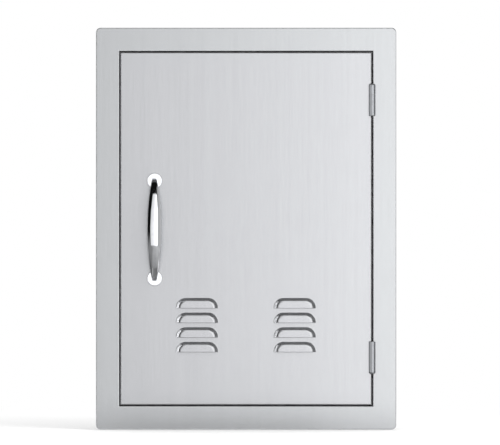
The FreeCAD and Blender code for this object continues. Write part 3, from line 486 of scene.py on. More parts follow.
def grid_tree(material):
    """Geometry nodes that repeat a piece over a standing grid."""
    tree = bpy.data.node_groups.new("repeat_over_grid", "GeometryNodeTree")
    grid_sockets(tree)
    nodes = tree.nodes
    link = tree.links.new
    source = nodes.new("NodeGroupInput")
    target = nodes.new("NodeGroupOutput")
    grid = grid_points(tree, source)
    stand = nodes.new("GeometryNodeTransform")
    stand.inputs["Rotation"].default_value = (math.pi / 2, 0.0, 0.0)
    spread = nodes.new("GeometryNodeInstanceOnPoints")
    realize = nodes.new("GeometryNodeRealizeInstances")
    coat = nodes.new("GeometryNodeSetMaterial")
    coat.inputs["Material"].default_value = material
    link(grid.outputs["Mesh"], stand.inputs["Geometry"])
    link(source.outputs["Middle"], stand.inputs["Translation"])
    link(stand.outputs["Geometry"], spread.inputs["Points"])
    link(source.outputs["Geometry"], spread.inputs["Instance"])
    link(spread.outputs["Instances"], realize.inputs["Geometry"])
    link(realize.outputs["Geometry"], coat.inputs["Geometry"])
    link(coat.outputs["Geometry"], target.inputs["Geometry"])
    return tree


def set_inputs(made, tree, values):
    """Adds a geometry nodes modifier and sets its named inputs."""
    modifier = made.modifiers.new(tree.name, "NODES")
    modifier.node_group = tree
    for item in tree.interface.items_tree:
        if item.item_type == "SOCKET" and item.in_out == "INPUT" and item.name in values:
            modifier[item.identifier] = values[item.name]


def louvre_middle():
    """The middle of all the mouths, on the door's face."""
    lowest = SKIN_LOW.z + LOUVRE_FIRST_HEIGHT
    return Vector((DOOR_MIDDLE.x, FRONT_Y, lowest + (LOUVRE_ROWS - 1) * LOUVRE_PITCH / 2))


def louvre_places():
    """The middle of each louvre's mouth, as X and Z."""
    middle = louvre_middle()
    places = []
    for column in range(LOUVRE_COLUMNS):
        for row in range(LOUVRE_ROWS):
            x = middle.x + (column - (LOUVRE_COLUMNS - 1) / 2) * LOUVRE_COLUMN_SPACING
            z = middle.z + (row - (LOUVRE_ROWS - 1) / 2) * LOUVRE_PITCH
            places.append((x, z))
    return places


def handle_heights():
    """Z of the handle's two posts, the upper one first."""
    return [HANDLE_Z + side * HANDLE_SPACING / 2 for side in (1, -1)]


def add_loop(work, points):
    """A closed loop of edges."""
    corners = [work.verts.new(point) for point in points]
    return [work.edges.new((a, b)) for a, b in zip(corners, corners[1:] + corners[:1])]


def round_mouths(mesh, outer_count):
    """Takes the sharp edge off each louvre's mouth, on the outside of the sheet."""
    levels = {z for _, z in louvre_places()}
    work = bmesh.new()
    work.from_mesh(mesh)
    edges = []
    for edge in work.edges:
        outside = all(corner.index < outer_count for corner in edge.verts)
        at_mouth = all(min(abs(corner.co.z - level) for level in levels) < SAME_LEVEL
                       and corner.co.y < FRONT_Y - LOUVRE_MOUTH_RADIUS for corner in edge.verts)
        if outside and at_mouth:
            edges.append(edge)
    bmesh.ops.bevel(work, geom=edges, offset=LOUVRE_MOUTH_RADIUS, segments=LOUVRE_MOUTH_STEPS,
                    profile=0.5, affect="EDGES", clamp_overlap=True)
    work.to_mesh(mesh)
    work.free()


def make_hoods(material):
    """All the louvres' hoods in one mesh."""
    hoods = make_hood()
    set_inputs(hoods, grid_tree(material), {
        "Columns": LOUVRE_COLUMNS,
        "Rows": LOUVRE_ROWS,
        "Column spacing": LOUVRE_COLUMN_SPACING,
        "Row pitch": LOUVRE_PITCH,
        "Middle": louvre_middle(),
    })
    return applied(hoods)


def add_sides(work):
    """The door's bent edges, from the back over the rounded edge to the face."""
    levels = [(0.0, DOOR_BACK_Y), (0.0, FRONT_Y + DOOR_EDGE_RADIUS)]
    for step in range(1, DOOR_EDGE_STEPS + 1):
        angle = math.radians(90 * step / DOOR_EDGE_STEPS)
        levels.append((DOOR_EDGE_RADIUS * (1 - math.cos(angle)),
                       FRONT_Y + DOOR_EDGE_RADIUS * (1 - math.sin(angle))))
    middle = (DOOR_MIDDLE.x, DOOR_MIDDLE.z)
    rings = []
    for inset, y in levels:
        rings.append(corner_ring(middle, DOOR_HALF_X - inset, DOOR_HALF_Z - inset,
                                 DOOR_EDGE_RADIUS - inset, y, DOOR_CORNER_STEPS))
    points, faces = join_rings(rings, True, False)
    corners = [work.verts.new(point) for point in points]
    for face in faces:
        work.faces.new([corners[corner] for corner in face])


def flat_front():
    """The door's flat face, with openings for the louvres and the handle's screws."""
    work = bmesh.new()
    half_x = DOOR_HALF_X - DOOR_EDGE_RADIUS
    half_z = DOOR_HALF_Z - DOOR_EDGE_RADIUS
    edges = add_loop(work, [(DOOR_MIDDLE.x + x * half_x, FRONT_Y, DOOR_MIDDLE.z + z * half_z)
                            for x, z in ((1, 1), (-1, 1), (-1, -1), (1, -1))])
    foot = hood_outline(hood_profile()[0][0])
    for place_x, place_z in louvre_places():
        edges += add_loop(work, [(place_x + x, FRONT_Y, place_z + z) for x, z in foot])
    for height in handle_heights():
        hole = arc((HANDLE_X, height), HANDLE_HOLE_RADIUS, 0.0, 360.0, SCREW_HOLE_STEPS)
        edges += add_loop(work, [(x, FRONT_Y, z) for x, z in hole])
    bmesh.ops.triangle_fill(work, use_beauty=True, use_dissolve=False, edges=edges)
    mesh = bpy.data.meshes.new("flat")
    work.to_mesh(mesh)
    work.free()
    return mesh


def face_forwards(work):
    """Turns an open sheet's faces so that its front looks to -Y."""
    bmesh.ops.recalc_face_normals(work, faces=work.faces)
    front = [face for face in work.faces if abs(face.normal.y) > FLAT_NORMAL]
    if sum(face.normal.y * face.calc_area() for face in front) > 0:
        bmesh.ops.reverse_faces(work, faces=work.faces)


def outer_sheet(material):
    """The outside of the door's sheet: hoods, sides and flat front, joined where they meet."""
    hoods = make_hoods(material)
    front = flat_front()
    work = bmesh.new()
    work.from_mesh(hoods.data)
    add_sides(work)
    work.from_mesh(front)
    bmesh.ops.remove_doubles(work, verts=work.verts, dist=SAME_SEAM)
    face_forwards(work)
    mesh = bpy.data.meshes.new("skin_sheet")
    work.to_mesh(mesh)
    work.free()
    bpy.data.meshes.remove(front)
    bpy.data.objects.remove(hoods)
    return mesh


def make_skin(material):
    """The door's outer panel, as thick as its sheet, with louvres, bent edges and notches."""
    mesh = outer_sheet(material)
    outer_count = len(mesh.vertices)
    made = make_object("skin_sheet", mesh)
    thick = made.modifiers.new("sheet", "SOLIDIFY")
    thick.thickness = SHEET
    thick.offset = -1.0
    thick.use_even_offset = True
    applied(made)
    round_mouths(made.data, outer_count)
    cut_notches(made)
    smooth_by_angle(made.data)
    finished(made, "door", material, ["door_skin"])
    weigh_normals(made)
    return made


# Handle

def bow_stations():
    """Reach from the door's face, height from the bow's middle, and angle along the upper half."""
    shoulder = math.radians(HANDLE_SHOULDER_ANGLE)
    lean = math.pi / 2 - shoulder
    half = HANDLE_SPACING / 2
    crown_half = half - HANDLE_SHOULDER_RADIUS * (1 - math.sin(lean))
    crown_radius = crown_half / math.sin(lean)
    crown_sag = crown_radius * (1 - math.cos(lean))
    post = HANDLE_REACH - crown_sag - HANDLE_SHOULDER_RADIUS * math.cos(lean)
    stations = [(ROSETTE_HEIGHT, half, 0.0), ((ROSETTE_HEIGHT + post) / 2, half, 0.0)]
    for step in range(BOW_STEPS + 1):
        angle = shoulder * step / BOW_STEPS
        stations.append((post + HANDLE_SHOULDER_RADIUS * math.sin(angle),
                         half - HANDLE_SHOULDER_RADIUS * (1 - math.cos(angle)), angle))
    for step in range(1, BOW_STEPS + 1):
        left = lean * (1 - step / BOW_STEPS)
        stations.append((HANDLE_REACH - crown_radius * (1 - math.cos(left)),
                         crown_radius * math.sin(left), math.pi / 2 - left))
    return stations


def bow_ring(reach, height, angle):
    """One section of the bow: an ellipse in the middle that turns almost square at the posts."""
    share = 1 - (2 * height / HANDLE_OUTLINE_LENGTH) ** 2
    width = max(HANDLE_POST_WIDTH, HANDLE_MIDDLE_WIDTH * share ** HANDLE_OUTLINE_TAPER)
    post_share = (HANDLE_MIDDLE_WIDTH - width) / (HANDLE_MIDDLE_WIDTH - HANDLE_POST_WIDTH)
    squareness = HANDLE_MIDDLE_SQUARENESS + (HANDLE_POST_SQUARENESS - HANDLE_MIDDLE_SQUARENESS) * post_share
    ring = []
    for side in range(BOW_SIDES):
        turn = 2 * math.pi * side / BOW_SIDES
        across = width / 2 * math.copysign(abs(math.cos(turn)) ** (2 / squareness), math.cos(turn))
        out = HANDLE_THICKNESS / 2 * math.copysign(abs(math.sin(turn)) ** (2 / squareness), math.sin(turn))
        ring.append((HANDLE_X + across, FRONT_Y - reach - out * math.sin(angle),
                     HANDLE_Z + height + out * math.cos(angle)))
    return ring


def make_bow(material):
    """The whole bow, from the upper post over the crown to the lower one, with flat ends."""
    upper = bow_stations()
    lower = [(reach, -height, math.pi - angle) for reach, height, angle in reversed(upper[:-1])]
    rings = [bow_ring(*station) for station in upper + lower]
    points, faces = join_rings(rings, True, False)
    faces.append(list(range(BOW_SIDES)))
    faces.append([len(points) - 1 - side for side in range(BOW_SIDES)])
    mesh = mesh_from("handle_grip", points, faces)
    tidy_mesh(mesh)
    smooth_by_angle(mesh, BOW_CREASE_ANGLE)
    return finished(make_object("handle_grip", mesh), "door", material, ["handle_bow"])


# Materials
# A noise scale is in waves per metre. A stretch below 1 draws the pattern out in that direction.
# A tone is a share added to the colour, and a roughness is added to the finish's own.

LINE_STRETCH = (1.0, 1.0, 0.012)
GRAIN_SCALE = 1500.0
GRAIN_ROUGHNESS = 0.12
GRAIN_BUMP_STRENGTH = 0.05
GRAIN_BUMP_DISTANCE = 0.2 * MM
STREAK_SCALE = 150.0
CLOUD_STRETCH = (1.0, 1.0, 0.06)
CLOUD_SCALE = 9.0
CLOUD_TONE = 0.03
SMUDGE_SCALE = 17.0
SMUDGE_BAND = (0.5, 0.72)
SMUDGE_TONE = -0.05
SMUDGE_ROUGHNESS = 0.1
SCRATCH_STRETCH = (1.0, 1.0, 0.03)
SCRATCH_SLANT = (0.0, 0.5, 0.0)
SCRATCH_SCALE = 420.0
SCRATCH_BAND = (0.68, 0.78)
SCRATCH_TONE = 0.12
SCRATCH_ROUGHNESS = 0.12
PATCH_SCALE = 31.0
PATCH_BAND = (0.52, 0.62)
MOTTLE_TONE = 0.16
MOTTLE_ROUGHNESS = 0.1


class Nodes:
    """A material's or group's nodes, with short calls to add and link them."""

    def __init__(self, tree):
        self.tree = tree

    def put(self, node, name, value):
        """Links an output to a socket, or sets the socket's own value."""
        socket = node.inputs[name]
        if hasattr(value, "is_output"):
            self.tree.links.new(value, socket)
        else:
            socket.default_value = value

    def add(self, kind, **inputs):
        """A new node. An underscore in an input's name stands for a space."""
        node = self.tree.nodes.new(kind)
        for name, value in inputs.items():
            self.put(node, name.replace("_", " "), value)
        return node

    def math(self, operation, first, second):
        node = self.tree.nodes.new("ShaderNodeMath")
        node.operation = operation
        self.put(node, 0, first)
        self.put(node, 1, second)
        return node.outputs[0]

    def times(self, colour, factor):
        """A colour made lighter or darker. The operation comes first, because it brings the socket."""
        node = self.tree.nodes.new("ShaderNodeVectorMath")
        node.operation = "SCALE"
        self.put(node, 0, colour)
        self.put(node, "Scale", factor)
        return node.outputs[0]

    def around_zero(self, noise, amount):
        """A noise of 0 to 1, moved to lie evenly round zero and scaled."""
        return self.math("MULTIPLY", self.math("SUBTRACT", noise, 0.5), amount)

    def stretch(self, vector, scale, turn=(0.0, 0.0, 0.0)):
        return self.add("ShaderNodeMapping", Vector=vector, Rotation=turn, Scale=scale).outputs["Vector"]

    def band(self, value, start, end):
        """0 up to the start, 1 past the end."""
        return self.add("ShaderNodeMapRange", Value=value, From_Min=start, From_Max=end).outputs["Result"]

    def noise(self, vector, scale, detail=2.0, rough=0.5):
        node = self.add("ShaderNodeTexNoise", Vector=vector, Scale=scale, Detail=detail, Roughness=rough)
        return node.outputs["Fac"]


def new_group(name, inputs, outputs):
    """A shader group with the given sockets, each a name and a kind."""
    tree = bpy.data.node_groups.new(name, "ShaderNodeTree")
    for label, kind in inputs:
        tree.interface.new_socket(label, in_out="INPUT", socket_type=kind)
    for label, kind in outputs:
        tree.interface.new_socket(label, in_out="OUTPUT", socket_type=kind)
    return tree


def brush_group():
    """Straight lines of brushed sheet, along Z: fine grain, streaks and slow cloudiness."""
    tree = new_group(
        "brushed_lines",
        [("Vector", "NodeSocketVector"), ("Colour", "NodeSocketColor"), ("Roughness", "NodeSocketFloat"),
         ("Streaks", "NodeSocketFloat"), ("Grain", "NodeSocketFloat")],
        [("Colour", "NodeSocketColor"), ("Roughness", "NodeSocketFloat"), ("Height", "NodeSocketFloat")],
    )
    nodes = Nodes(tree)
    given = tree.nodes.new("NodeGroupInput").outputs
    result = tree.nodes.new("NodeGroupOutput")
    along = nodes.stretch(given["Vector"], LINE_STRETCH)
    slow = nodes.stretch(given["Vector"], CLOUD_STRETCH)
    grain = nodes.noise(along, GRAIN_SCALE, detail=3.0, rough=0.65)
    streaks = nodes.noise(along, STREAK_SCALE, detail=3.0, rough=0.6)
    clouds = nodes.noise(slow, CLOUD_SCALE)
    grain_tone = nodes.around_zero(grain, given["Grain"])
    streak_tone = nodes.around_zero(streaks, given["Streaks"])
    cloud_tone = nodes.around_zero(clouds, CLOUD_TONE)
    tone = nodes.math("ADD", nodes.math("ADD", grain_tone, streak_tone), nodes.math("ADD", cloud_tone, 1.0))
    shade = nodes.times(given["Colour"], tone)
    rough = nodes.math("ADD", given["Roughness"], nodes.around_zero(grain, GRAIN_ROUGHNESS))
    tree.links.new(shade, result.inputs["Colour"])
    tree.links.new(rough, result.inputs["Roughness"])
    tree.links.new(grain, result.inputs["Height"])
    return tree


def marks_group():
    """What handling and cleaning leave: soft smudges that dull the sheen, and fine slanting scratches."""
    tree = new_group(
        "handling_marks",
        [("Vector", "NodeSocketVector"), ("Colour", "NodeSocketColor"), ("Roughness", "NodeSocketFloat"),
         ("Amount", "NodeSocketFloat")],
        [("Colour", "NodeSocketColor"), ("Roughness", "NodeSocketFloat")],
    )
    nodes = Nodes(tree)
    given = tree.nodes.new("NodeGroupInput").outputs
    result = tree.nodes.new("NodeGroupOutput")
    smudges = nodes.band(nodes.noise(given["Vector"], SMUDGE_SCALE, detail=4.0, rough=0.6), *SMUDGE_BAND)
    slanted = nodes.stretch(given["Vector"], SCRATCH_STRETCH, SCRATCH_SLANT)
    lines = nodes.band(nodes.noise(slanted, SCRATCH_SCALE, detail=1.0), *SCRATCH_BAND)
    patches = nodes.band(nodes.noise(given["Vector"], PATCH_SCALE), *PATCH_BAND)
    scratches = nodes.math("MULTIPLY", lines, patches)
    dulled = nodes.math("MULTIPLY", smudges, SMUDGE_TONE)
    bright = nodes.math("MULTIPLY", scratches, SCRATCH_TONE)
    change = nodes.math("MULTIPLY", nodes.math("ADD", dulled, bright), given["Amount"])
    shade = nodes.times(given["Colour"], nodes.math("ADD", change, 1.0))
    spread = nodes.math("ADD", nodes.math("MULTIPLY", smudges, SMUDGE_ROUGHNESS),
                        nodes.math("MULTIPLY", scratches, SCRATCH_ROUGHNESS))
    rough = nodes.math("ADD", given["Roughness"], nodes.math("MULTIPLY", spread, given["Amount"]))
    tree.links.new(shade, result.inputs["Colour"])
    tree.links.new(rough, result.inputs["Roughness"])
    return tree


def add_marks(tree, place, colour, rough, amount):
    """Handling marks over a colour and roughness, into the shader."""
    shader = tree.nodes["Principled BSDF"]
    group = tree.nodes.new("ShaderNodeGroup")
    group.node_tree = MARKS
    group.inputs["Amount"].default_value = amount
    tree.links.new(place, group.inputs["Vector"])
    tree.links.new(colour, group.inputs["Colour"])
    tree.links.new(rough, group.inputs["Roughness"])
    tree.links.new(group.outputs["Colour"], shader.inputs["Base Color"])
    tree.links.new(group.outputs["Roughness"], shader.inputs["Roughness"])


def new_material(name, metallic):
    """A new material, its tree, and the object's own coordinates."""
    material = bpy.data.materials.new(name)
    material.use_nodes = True
    tree = material.node_tree
    tree.nodes["Principled BSDF"].inputs["Metallic"].default_value = metallic
    return material, tree, tree.nodes.new("ShaderNodeTexCoord").outputs["Object"]


def brushed_steel(name, colour, metallic, rough, streaks, grain, marks):
    """Steel sheet with lines along Z, under handling marks."""
    material, tree, place = new_material(name, metallic)
    group = tree.nodes.new("ShaderNodeGroup")
    group.node_tree = BRUSH
    tree.links.new(place, group.inputs["Vector"])
    group.inputs["Colour"].default_value = (*colour, 1.0)
    group.inputs["Roughness"].default_value = rough
    group.inputs["Streaks"].default_value = streaks
    group.inputs["Grain"].default_value = grain
    bump = Nodes(tree).add("ShaderNodeBump", Strength=GRAIN_BUMP_STRENGTH, Distance=GRAIN_BUMP_DISTANCE,
                           Height=group.outputs["Height"])
    add_marks(tree, place, group.outputs["Colour"], group.outputs["Roughness"], marks)
    tree.links.new(bump.outputs["Normal"], tree.nodes["Principled BSDF"].inputs["Normal"])
    return material


def plain(name, colour, metallic, rough, scale, marks):
    """A finish with slight mottling of tone and sheen, under handling marks."""
    material, tree, place = new_material(name, metallic)
    nodes = Nodes(tree)
    mottle = nodes.noise(place, scale, detail=4.0)
    tone = nodes.math("ADD", nodes.math("MULTIPLY", mottle, MOTTLE_TONE), 1 - MOTTLE_TONE / 2)
    shade = nodes.times(colour, tone)
    sheen = nodes.math("ADD", nodes.math("MULTIPLY", mottle, MOTTLE_ROUGHNESS), rough - MOTTLE_ROUGHNESS / 2)
    add_marks(tree, place, shade, sheen, marks)
    return material


# Studio
# Places are on the plan, as X and Y. A brightness of 1 is white.

STUDIO_LOW = -0.84
STUDIO_HIGH = 3.3
PANEL_Y = -3.0
FLAG_Y = PANEL_Y - 0.02
RIGHT_FRONT = (1.04, PANEL_Y)
RIGHT_SIDE = (2.1, -1.35)
RIGHT_BACK = (2.2, 0.9)
RIGHT_FLAG_FRONT = (RIGHT_FRONT[0], FLAG_Y)
RIGHT_FLAG_SIDE = (2.15, -1.36)
RIGHT_FLAG_BACK = (2.25, 0.9)
LEFT_FRONT = (-2.1, FLAG_Y)
LEFT_SIDE = (-2.45, -1.0)
LEFT_BACK = (-2.45, 0.5)
LEFT_LIGHT_END = (-2.6, 1.5)
FLOOR_HALF_SIZE = 30.0
FLOOR_TONE = 0.97
FLOOR_FADE = (0.6, 1.4)    # distances from the middle between which the matt floor turns to plain white
WORLD_STRENGTH = 1.0


def glow_material(name, ramps, see_through):
    """A card's glow: the product of ramps, each an axis, its start and end, and stops.

    A stop is a share of the way and a brightness.
    """
    material = bpy.data.materials.new(name)
    material.use_nodes = True
    tree = material.node_tree
    tree.nodes.clear()
    nodes = Nodes(tree)
    place = tree.nodes.new("ShaderNodeTexCoord")
    parts = nodes.add("ShaderNodeSeparateXYZ", Vector=place.outputs["Object"])
    level = 1.0
    for axis, start, end, stops in ramps:
        peak = max(brightness for _, brightness in stops)
        way = nodes.add("ShaderNodeMapRange", Value=parts.outputs[axis], From_Min=start, From_Max=end)
        ramp = nodes.add("ShaderNodeValToRGB", Fac=way.outputs["Result"])
        ramp.color_ramp.interpolation = "EASE"
        elements = ramp.color_ramp.elements
        for index, (share, brightness) in enumerate(stops):
            element = elements[index] if index < 2 else elements.new(share)
            element.position = share
            element.color = (brightness / peak, brightness / peak, brightness / peak, 1.0)
        level = nodes.math("MULTIPLY", level, nodes.math("MULTIPLY", ramp.outputs["Color"], peak))
    glow = nodes.add("ShaderNodeEmission", Strength=level)
    through = tree.nodes.new("ShaderNodeBsdfTransparent")
    both = tree.nodes.new("ShaderNodeAddShader")
    out = tree.nodes.new("ShaderNodeOutputMaterial")
    tree.links.new(glow.outputs[0], both.inputs[0])
    tree.links.new(through.outputs[0], both.inputs[1])
    tree.links.new(both.outputs[0] if see_through else glow.outputs[0], out.inputs["Surface"])
    return material


def make_card(name, corners, *ramps, lit=()):
    """A studio card that only reflections show.

    With lit pieces, the card is seen through and shows in the reflections of those pieces only.
    """
    card = make_object(name, mesh_from(name, corners, [tuple(range(len(corners)))]))
    card.data.materials.append(glow_material(name, ramps, bool(lit)))
    card.visible_camera = False
    card.visible_diffuse = False
    card.visible_shadow = False
    card.visible_transmission = False
    if lit:
        chosen = bpy.data.collections.new(name + "_lights")
        for piece in lit:
            chosen.objects.link(piece)
        card.light_linking.receiver_collection = chosen


def standing(a, b, low, high):
    """Corners of an upright card between two places on the plan."""
    return [(*a, low), (*b, low), (*b, high), (*a, high)]


def lying(x0, x1, y0, y1, z):
    """Corners of a level card."""
    return [(x0, y0, z), (x1, y0, z), (x1, y1, z), (x0, y1, z)]


def even(brightness):
    """A ramp with one brightness all over."""
    return ("X", -1.0, 1.0, ((0.0, brightness), (1.0, brightness)))


def make_room(mirrors):
    """The front panel with a flag behind it, and the cards and flags of both sides and the ceiling."""
    low = STUDIO_LOW
    high = STUDIO_HIGH
    dark = ("Z", low, -0.06, ((0.0, 0.2), (0.3, 0.18), (0.5, 0.13), (0.69, 0.065), (1.0, 0.005)))
    pale = ("Z", low, high, ((0.0, 0.42), (0.35, 0.42), (0.5, 0.36), (0.64, 0.3), (1.0, 0.24)))
    black = even(0.005)
    outline = ((-1.6, low), (RIGHT_FRONT[0], low), (RIGHT_FRONT[0], 0.9), (0.95, 1.4), (0.72, 2.1),
               (-0.5, 2.1), (-0.72, 1.82), (-1.05, 1.4), (-1.42, 1.0), (-1.6, 0.5), (-1.76, 0.05))
    make_card("front_panel", [(x, PANEL_Y, z) for x, z in outline],
              ("X", -1.3, RIGHT_FRONT[0],
               ((0.0, 0.76), (0.34, 0.93), (0.62, 1.42), (0.85, 2.15), (1.0, 2.4))),
              ("Z", 0.0, 2.1, ((0.0, 1.0), (1.0, 0.72))))
    make_card("front_flag", standing(LEFT_FRONT, RIGHT_FLAG_FRONT, low, high), black)
    make_card("left_flag", standing(LEFT_SIDE, LEFT_FRONT, low, high), dark)
    make_card("left_side_flag", standing(LEFT_BACK, LEFT_SIDE, low, high), dark)
    make_card("left_light", standing(LEFT_LIGHT_END, LEFT_BACK, low, high), even(1.0))
    make_card("right_card", standing(RIGHT_FRONT, RIGHT_SIDE, low, high), pale, lit=mirrors)
    make_card("right_side_card", standing(RIGHT_SIDE, RIGHT_BACK, low, high), pale, lit=mirrors)
    make_card("right_flag", standing(RIGHT_FLAG_FRONT, RIGHT_FLAG_SIDE, low, high), black)
    make_card("right_side_flag", standing(RIGHT_FLAG_SIDE, RIGHT_FLAG_BACK, low, high), even(0.08))
    make_card("ceiling_flag", lying(LEFT_BACK[0], RIGHT_FLAG_BACK[0], FLAG_Y, 1.3, high), black)


def make_low_cards(sheets):
    """Cards below the object, for what faces and edges mirror from underneath."""
    make_card("low_card", lying(LEFT_BACK[0], RIGHT_FLAG_BACK[0], FLAG_Y, 1.0, STUDIO_LOW),
              ("Y", PANEL_Y, -0.1, ((0.0, 0.46), (0.35, 0.45), (0.55, 0.37), (0.8, 0.22), (1.0, 0.18))),
              ("X", -0.8, 0.45, ((0.0, 0.5), (0.5, 0.88), (1.0, 1.05))))
    # Painted shade: a dark card in front of the door's foot that stands for the shaded floor there, seen
    # only in reflections.
    make_card("floor_shade_card", lying(-0.27, 0.6, -0.4, -0.05, UNDER_CARD_LEVEL),
              ("X", SURROUND_LOW.x, SURROUND_HIGH.x,
               ((0.0, 0.42), (0.2, 0.18), (0.38, 0.15), (0.6, 0.18), (1.0, 0.75))))
    make_card("edge_card", lying(-0.6, 0.6, -0.022, 0.03, UNDER_CARD_LEVEL), even(0.7), lit=sheets)


def make_picked_cards(sheets, hinges, sleeves):
    """Cards that show in the reflections of some pieces only. The surround is the first of the sheets."""
    low = STUDIO_LOW
    high = STUDIO_HIGH
    make_card("sheet_left_card", standing((-0.9, -0.03), (-0.9, -0.2), -0.5, 0.8), even(3.4), lit=sheets)
    make_card("sheet_low_card", lying(-2.3, 2.1, -2.0, -0.45, low + 0.04),
              ("Y", -2.0, -0.45, ((0.0, 0.2), (0.5, 0.45), (1.0, 0.6))), lit=sheets)
    make_card("surround_right_card", standing((2.0, -1.5), (2.05, 0.8), low, 1.2), even(0.8), lit=sheets[:1])
    make_card("top_card", lying(-1.2, 1.2, -1.2, 1.2, high - 0.1), even(0.6), lit=sleeves + sheets[:1])
    make_card("sleeve_right_card", standing((2.1, -0.5), (2.15, 1.2), low, 1.2), even(0.6), lit=sleeves)
    make_card("sheet_right_card", standing((1.0, -2.9), (1.9, -1.5), -0.45, 1.5), even(1.4), lit=sheets)
    make_card("sheet_top_card", standing((-2.0, -2.95), (1.0, -2.95), 2.1, 3.2), even(1.3), lit=sheets)
    make_card("hinge_left_card", standing((-0.9, 0.25), (-1.0, -2.6), low, 1.5), even(1.15), lit=hinges)
    make_card("hinge_right_card", standing((0.85, -2.95), (1.95, -1.15), low, 1.5), even(2.5), lit=hinges)


def floor_material():
    """Matt and pale round the object, and plain white to the camera further out."""
    material = bpy.data.materials.new("pale_floor")
    material.use_nodes = True
    tree = material.node_tree
    tree.nodes.clear()
    nodes = Nodes(tree)
    out = tree.nodes.new("ShaderNodeOutputMaterial")
    matt = nodes.add("ShaderNodeBsdfDiffuse", Color=(FLOOR_TONE, FLOOR_TONE, FLOOR_TONE, 1.0))
    glow = tree.nodes.new("ShaderNodeEmission")
    place = tree.nodes.new("ShaderNodeTexCoord")
    length = tree.nodes.new("ShaderNodeVectorMath")
    length.operation = "LENGTH"
    tree.links.new(place.outputs["Object"], length.inputs[0])
    far = nodes.add("ShaderNodeMapRange", Value=length.outputs["Value"],
                    From_Min=FLOOR_FADE[0], From_Max=FLOOR_FADE[1])
    far.interpolation_type = "SMOOTHSTEP"
    rays = tree.nodes.new("ShaderNodeLightPath")
    seen = nodes.math("MULTIPLY", far.outputs["Result"], rays.outputs["Is Camera Ray"])
    mix = nodes.add("ShaderNodeMixShader", Fac=seen)
    tree.links.new(matt.outputs[0], mix.inputs[1])
    tree.links.new(glow.outputs[0], mix.inputs[2])
    tree.links.new(mix.outputs[0], out.inputs["Surface"])
    return material


def make_floor():
    """A level floor just under the object."""
    size = FLOOR_HALF_SIZE
    corners = lying(-size, size, -size, size, FLOOR_LEVEL)
    floor = make_object("floor", mesh_from("floor", corners, [(0, 1, 2, 3)]))
    floor.data.materials.append(floor_material())
    floor.visible_glossy = False


def make_world():
    """A plain white world, as light and as background."""
    world = bpy.data.worlds.new("studio")
    bpy.context.scene.world = world
    world.use_nodes = True
    back = world.node_tree.nodes["Background"]
    back.inputs["Color"].default_value = (1.0, 1.0, 1.0, 1.0)
    back.inputs["Strength"].default_value = WORLD_STRENGTH


def make_lamp(name, place, size, power):
    """A square lamp that looks at the origin and that nothing mirrors."""
    lamp = bpy.data.lights.new(name, "AREA")
    lamp.shape = "RECTANGLE"
    lamp.size = size
    lamp.size_y = size
    lamp.energy = power
    made = bpy.data.objects.new(name, lamp)
    made.location = place
    made.rotation_euler = (-Vector(place)).to_track_quat("-Z", "Y").to_euler()
    made.visible_glossy = False
    bpy.context.scene.collection.objects.link(made)


def make_camera():
    """The photograph's view: straight ahead, from far off."""
    data = bpy.data.cameras.new("camera")
    data.lens = CAMERA_LENS
    data.sensor_width = CAMERA_SENSOR
    data.clip_end = CAMERA_CLIP_END
    camera = bpy.data.objects.new("camera", data)
    distance = PHOTO_WIDTH * METRES_PER_PIXEL * CAMERA_LENS / CAMERA_SENSOR
    camera.location = (
        (PHOTO_WIDTH / 2 - OBJECT_MIDDLE_PIXEL[0]) * METRES_PER_PIXEL,
        FRONT_Y - distance,
        (OBJECT_MIDDLE_PIXEL[1] - PHOTO_HEIGHT / 2) * METRES_PER_PIXEL,
    )
    camera.rotation_euler = (math.pi / 2, 0.0, 0.0)
    bpy.context.scene.collection.objects.link(camera)
    bpy.context.scene.camera = camera


def dress_nodes(finishes):
    """Gives every solid the material of its slot."""
    for node in NODES.values():
        slot = node.data.materials[0].name.split(".")[0]
        node.data.materials[0] = finishes[slot]


# The door, dressed and lit

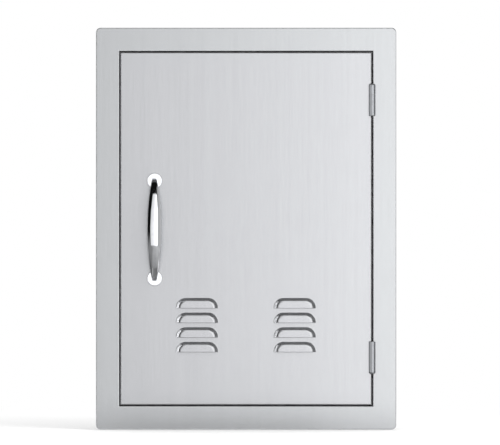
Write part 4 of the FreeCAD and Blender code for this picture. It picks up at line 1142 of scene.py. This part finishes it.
BRUSH = brush_group()
MARKS = marks_group()
surround_steel = brushed_steel("surround_brushed_steel", (0.503, 0.514, 0.527), metallic=0.86, rough=0.24,
                               streaks=0.07, grain=0.22, marks=0.1)
panel_steel = brushed_steel("panel_brushed_steel", (0.515, 0.521, 0.539), metallic=0.86, rough=0.24,
                            streaks=0.07, grain=0.22, marks=0.1)
sleeve_steel = brushed_steel("rolled_sleeve_steel", (0.47, 0.47, 0.475), metallic=0.85, rough=0.36,
                             streaks=0.2, grain=0.2, marks=0.6)
liner_steel = brushed_steel("rolled_liner_steel", (0.5, 0.5, 0.505), metallic=0.85, rough=0.36,
                            streaks=0.2, grain=0.2, marks=0.45)
polished = plain("polished_plating", (0.94, 0.955, 0.985), metallic=1.0, rough=0.06,
                 scale=200.0, marks=0.1)
satin_steel = plain("satin_hinge_steel", (0.3, 0.31, 0.325), metallic=0.85, rough=0.36,
                    scale=300.0, marks=0.5)
fastener = plain("plated_fastener", (0.6, 0.6, 0.58), metallic=1.0, rough=0.3,
                 scale=400.0, marks=0.6)
grey_plastic = plain("grey_moulded_plastic", (0.25, 0.25, 0.26), metallic=0.0, rough=0.5,
                     scale=500.0, marks=0.4)
ferrite = plain("ferrite_magnet", (0.05, 0.05, 0.055), metallic=0.0, rough=0.6,
                scale=600.0, marks=0.4)
rubber = plain("black_rubber", (0.03, 0.03, 0.03), metallic=0.0, rough=0.7,
               scale=500.0, marks=0.3)

sheets = [make_surround(surround_steel), make_skin(panel_steel)]
grip = make_bow(polished)
welds = make_welds(surround_steel)
dress_nodes({
    "liner_steel": liner_steel,
    "sleeve_steel": sleeve_steel,
    "hinge_steel": satin_steel,
    "fastener_steel": fastener,
    "polished_rosette": polished,
    "grey_plastic": grey_plastic,
    "magnet": ferrite,
    "bumper_rubber": rubber,
    "surround_steel": surround_steel,
    "panel_steel": panel_steel,
    "polished_handle": polished,
})

replaced = {"face_frame", "door_skin", "handle_bow"}
hinges = [node for name, node in NODES.items() if "hinge" in name]
sleeves = [node for name, node in NODES.items() if "sleeve" in name]
others = [node for name, node in NODES.items() if name not in replaced and node not in hinges]
make_room([grip, welds] + others)
make_low_cards(sheets)
make_picked_cards(sheets, hinges, sleeves)
make_floor()
make_world()
make_lamp("key_lamp", place=(1.2, -1.8, 1.6), size=1.2, power=26.0)
make_camera()

bpy.context.scene.view_settings.view_transform = "Standard"
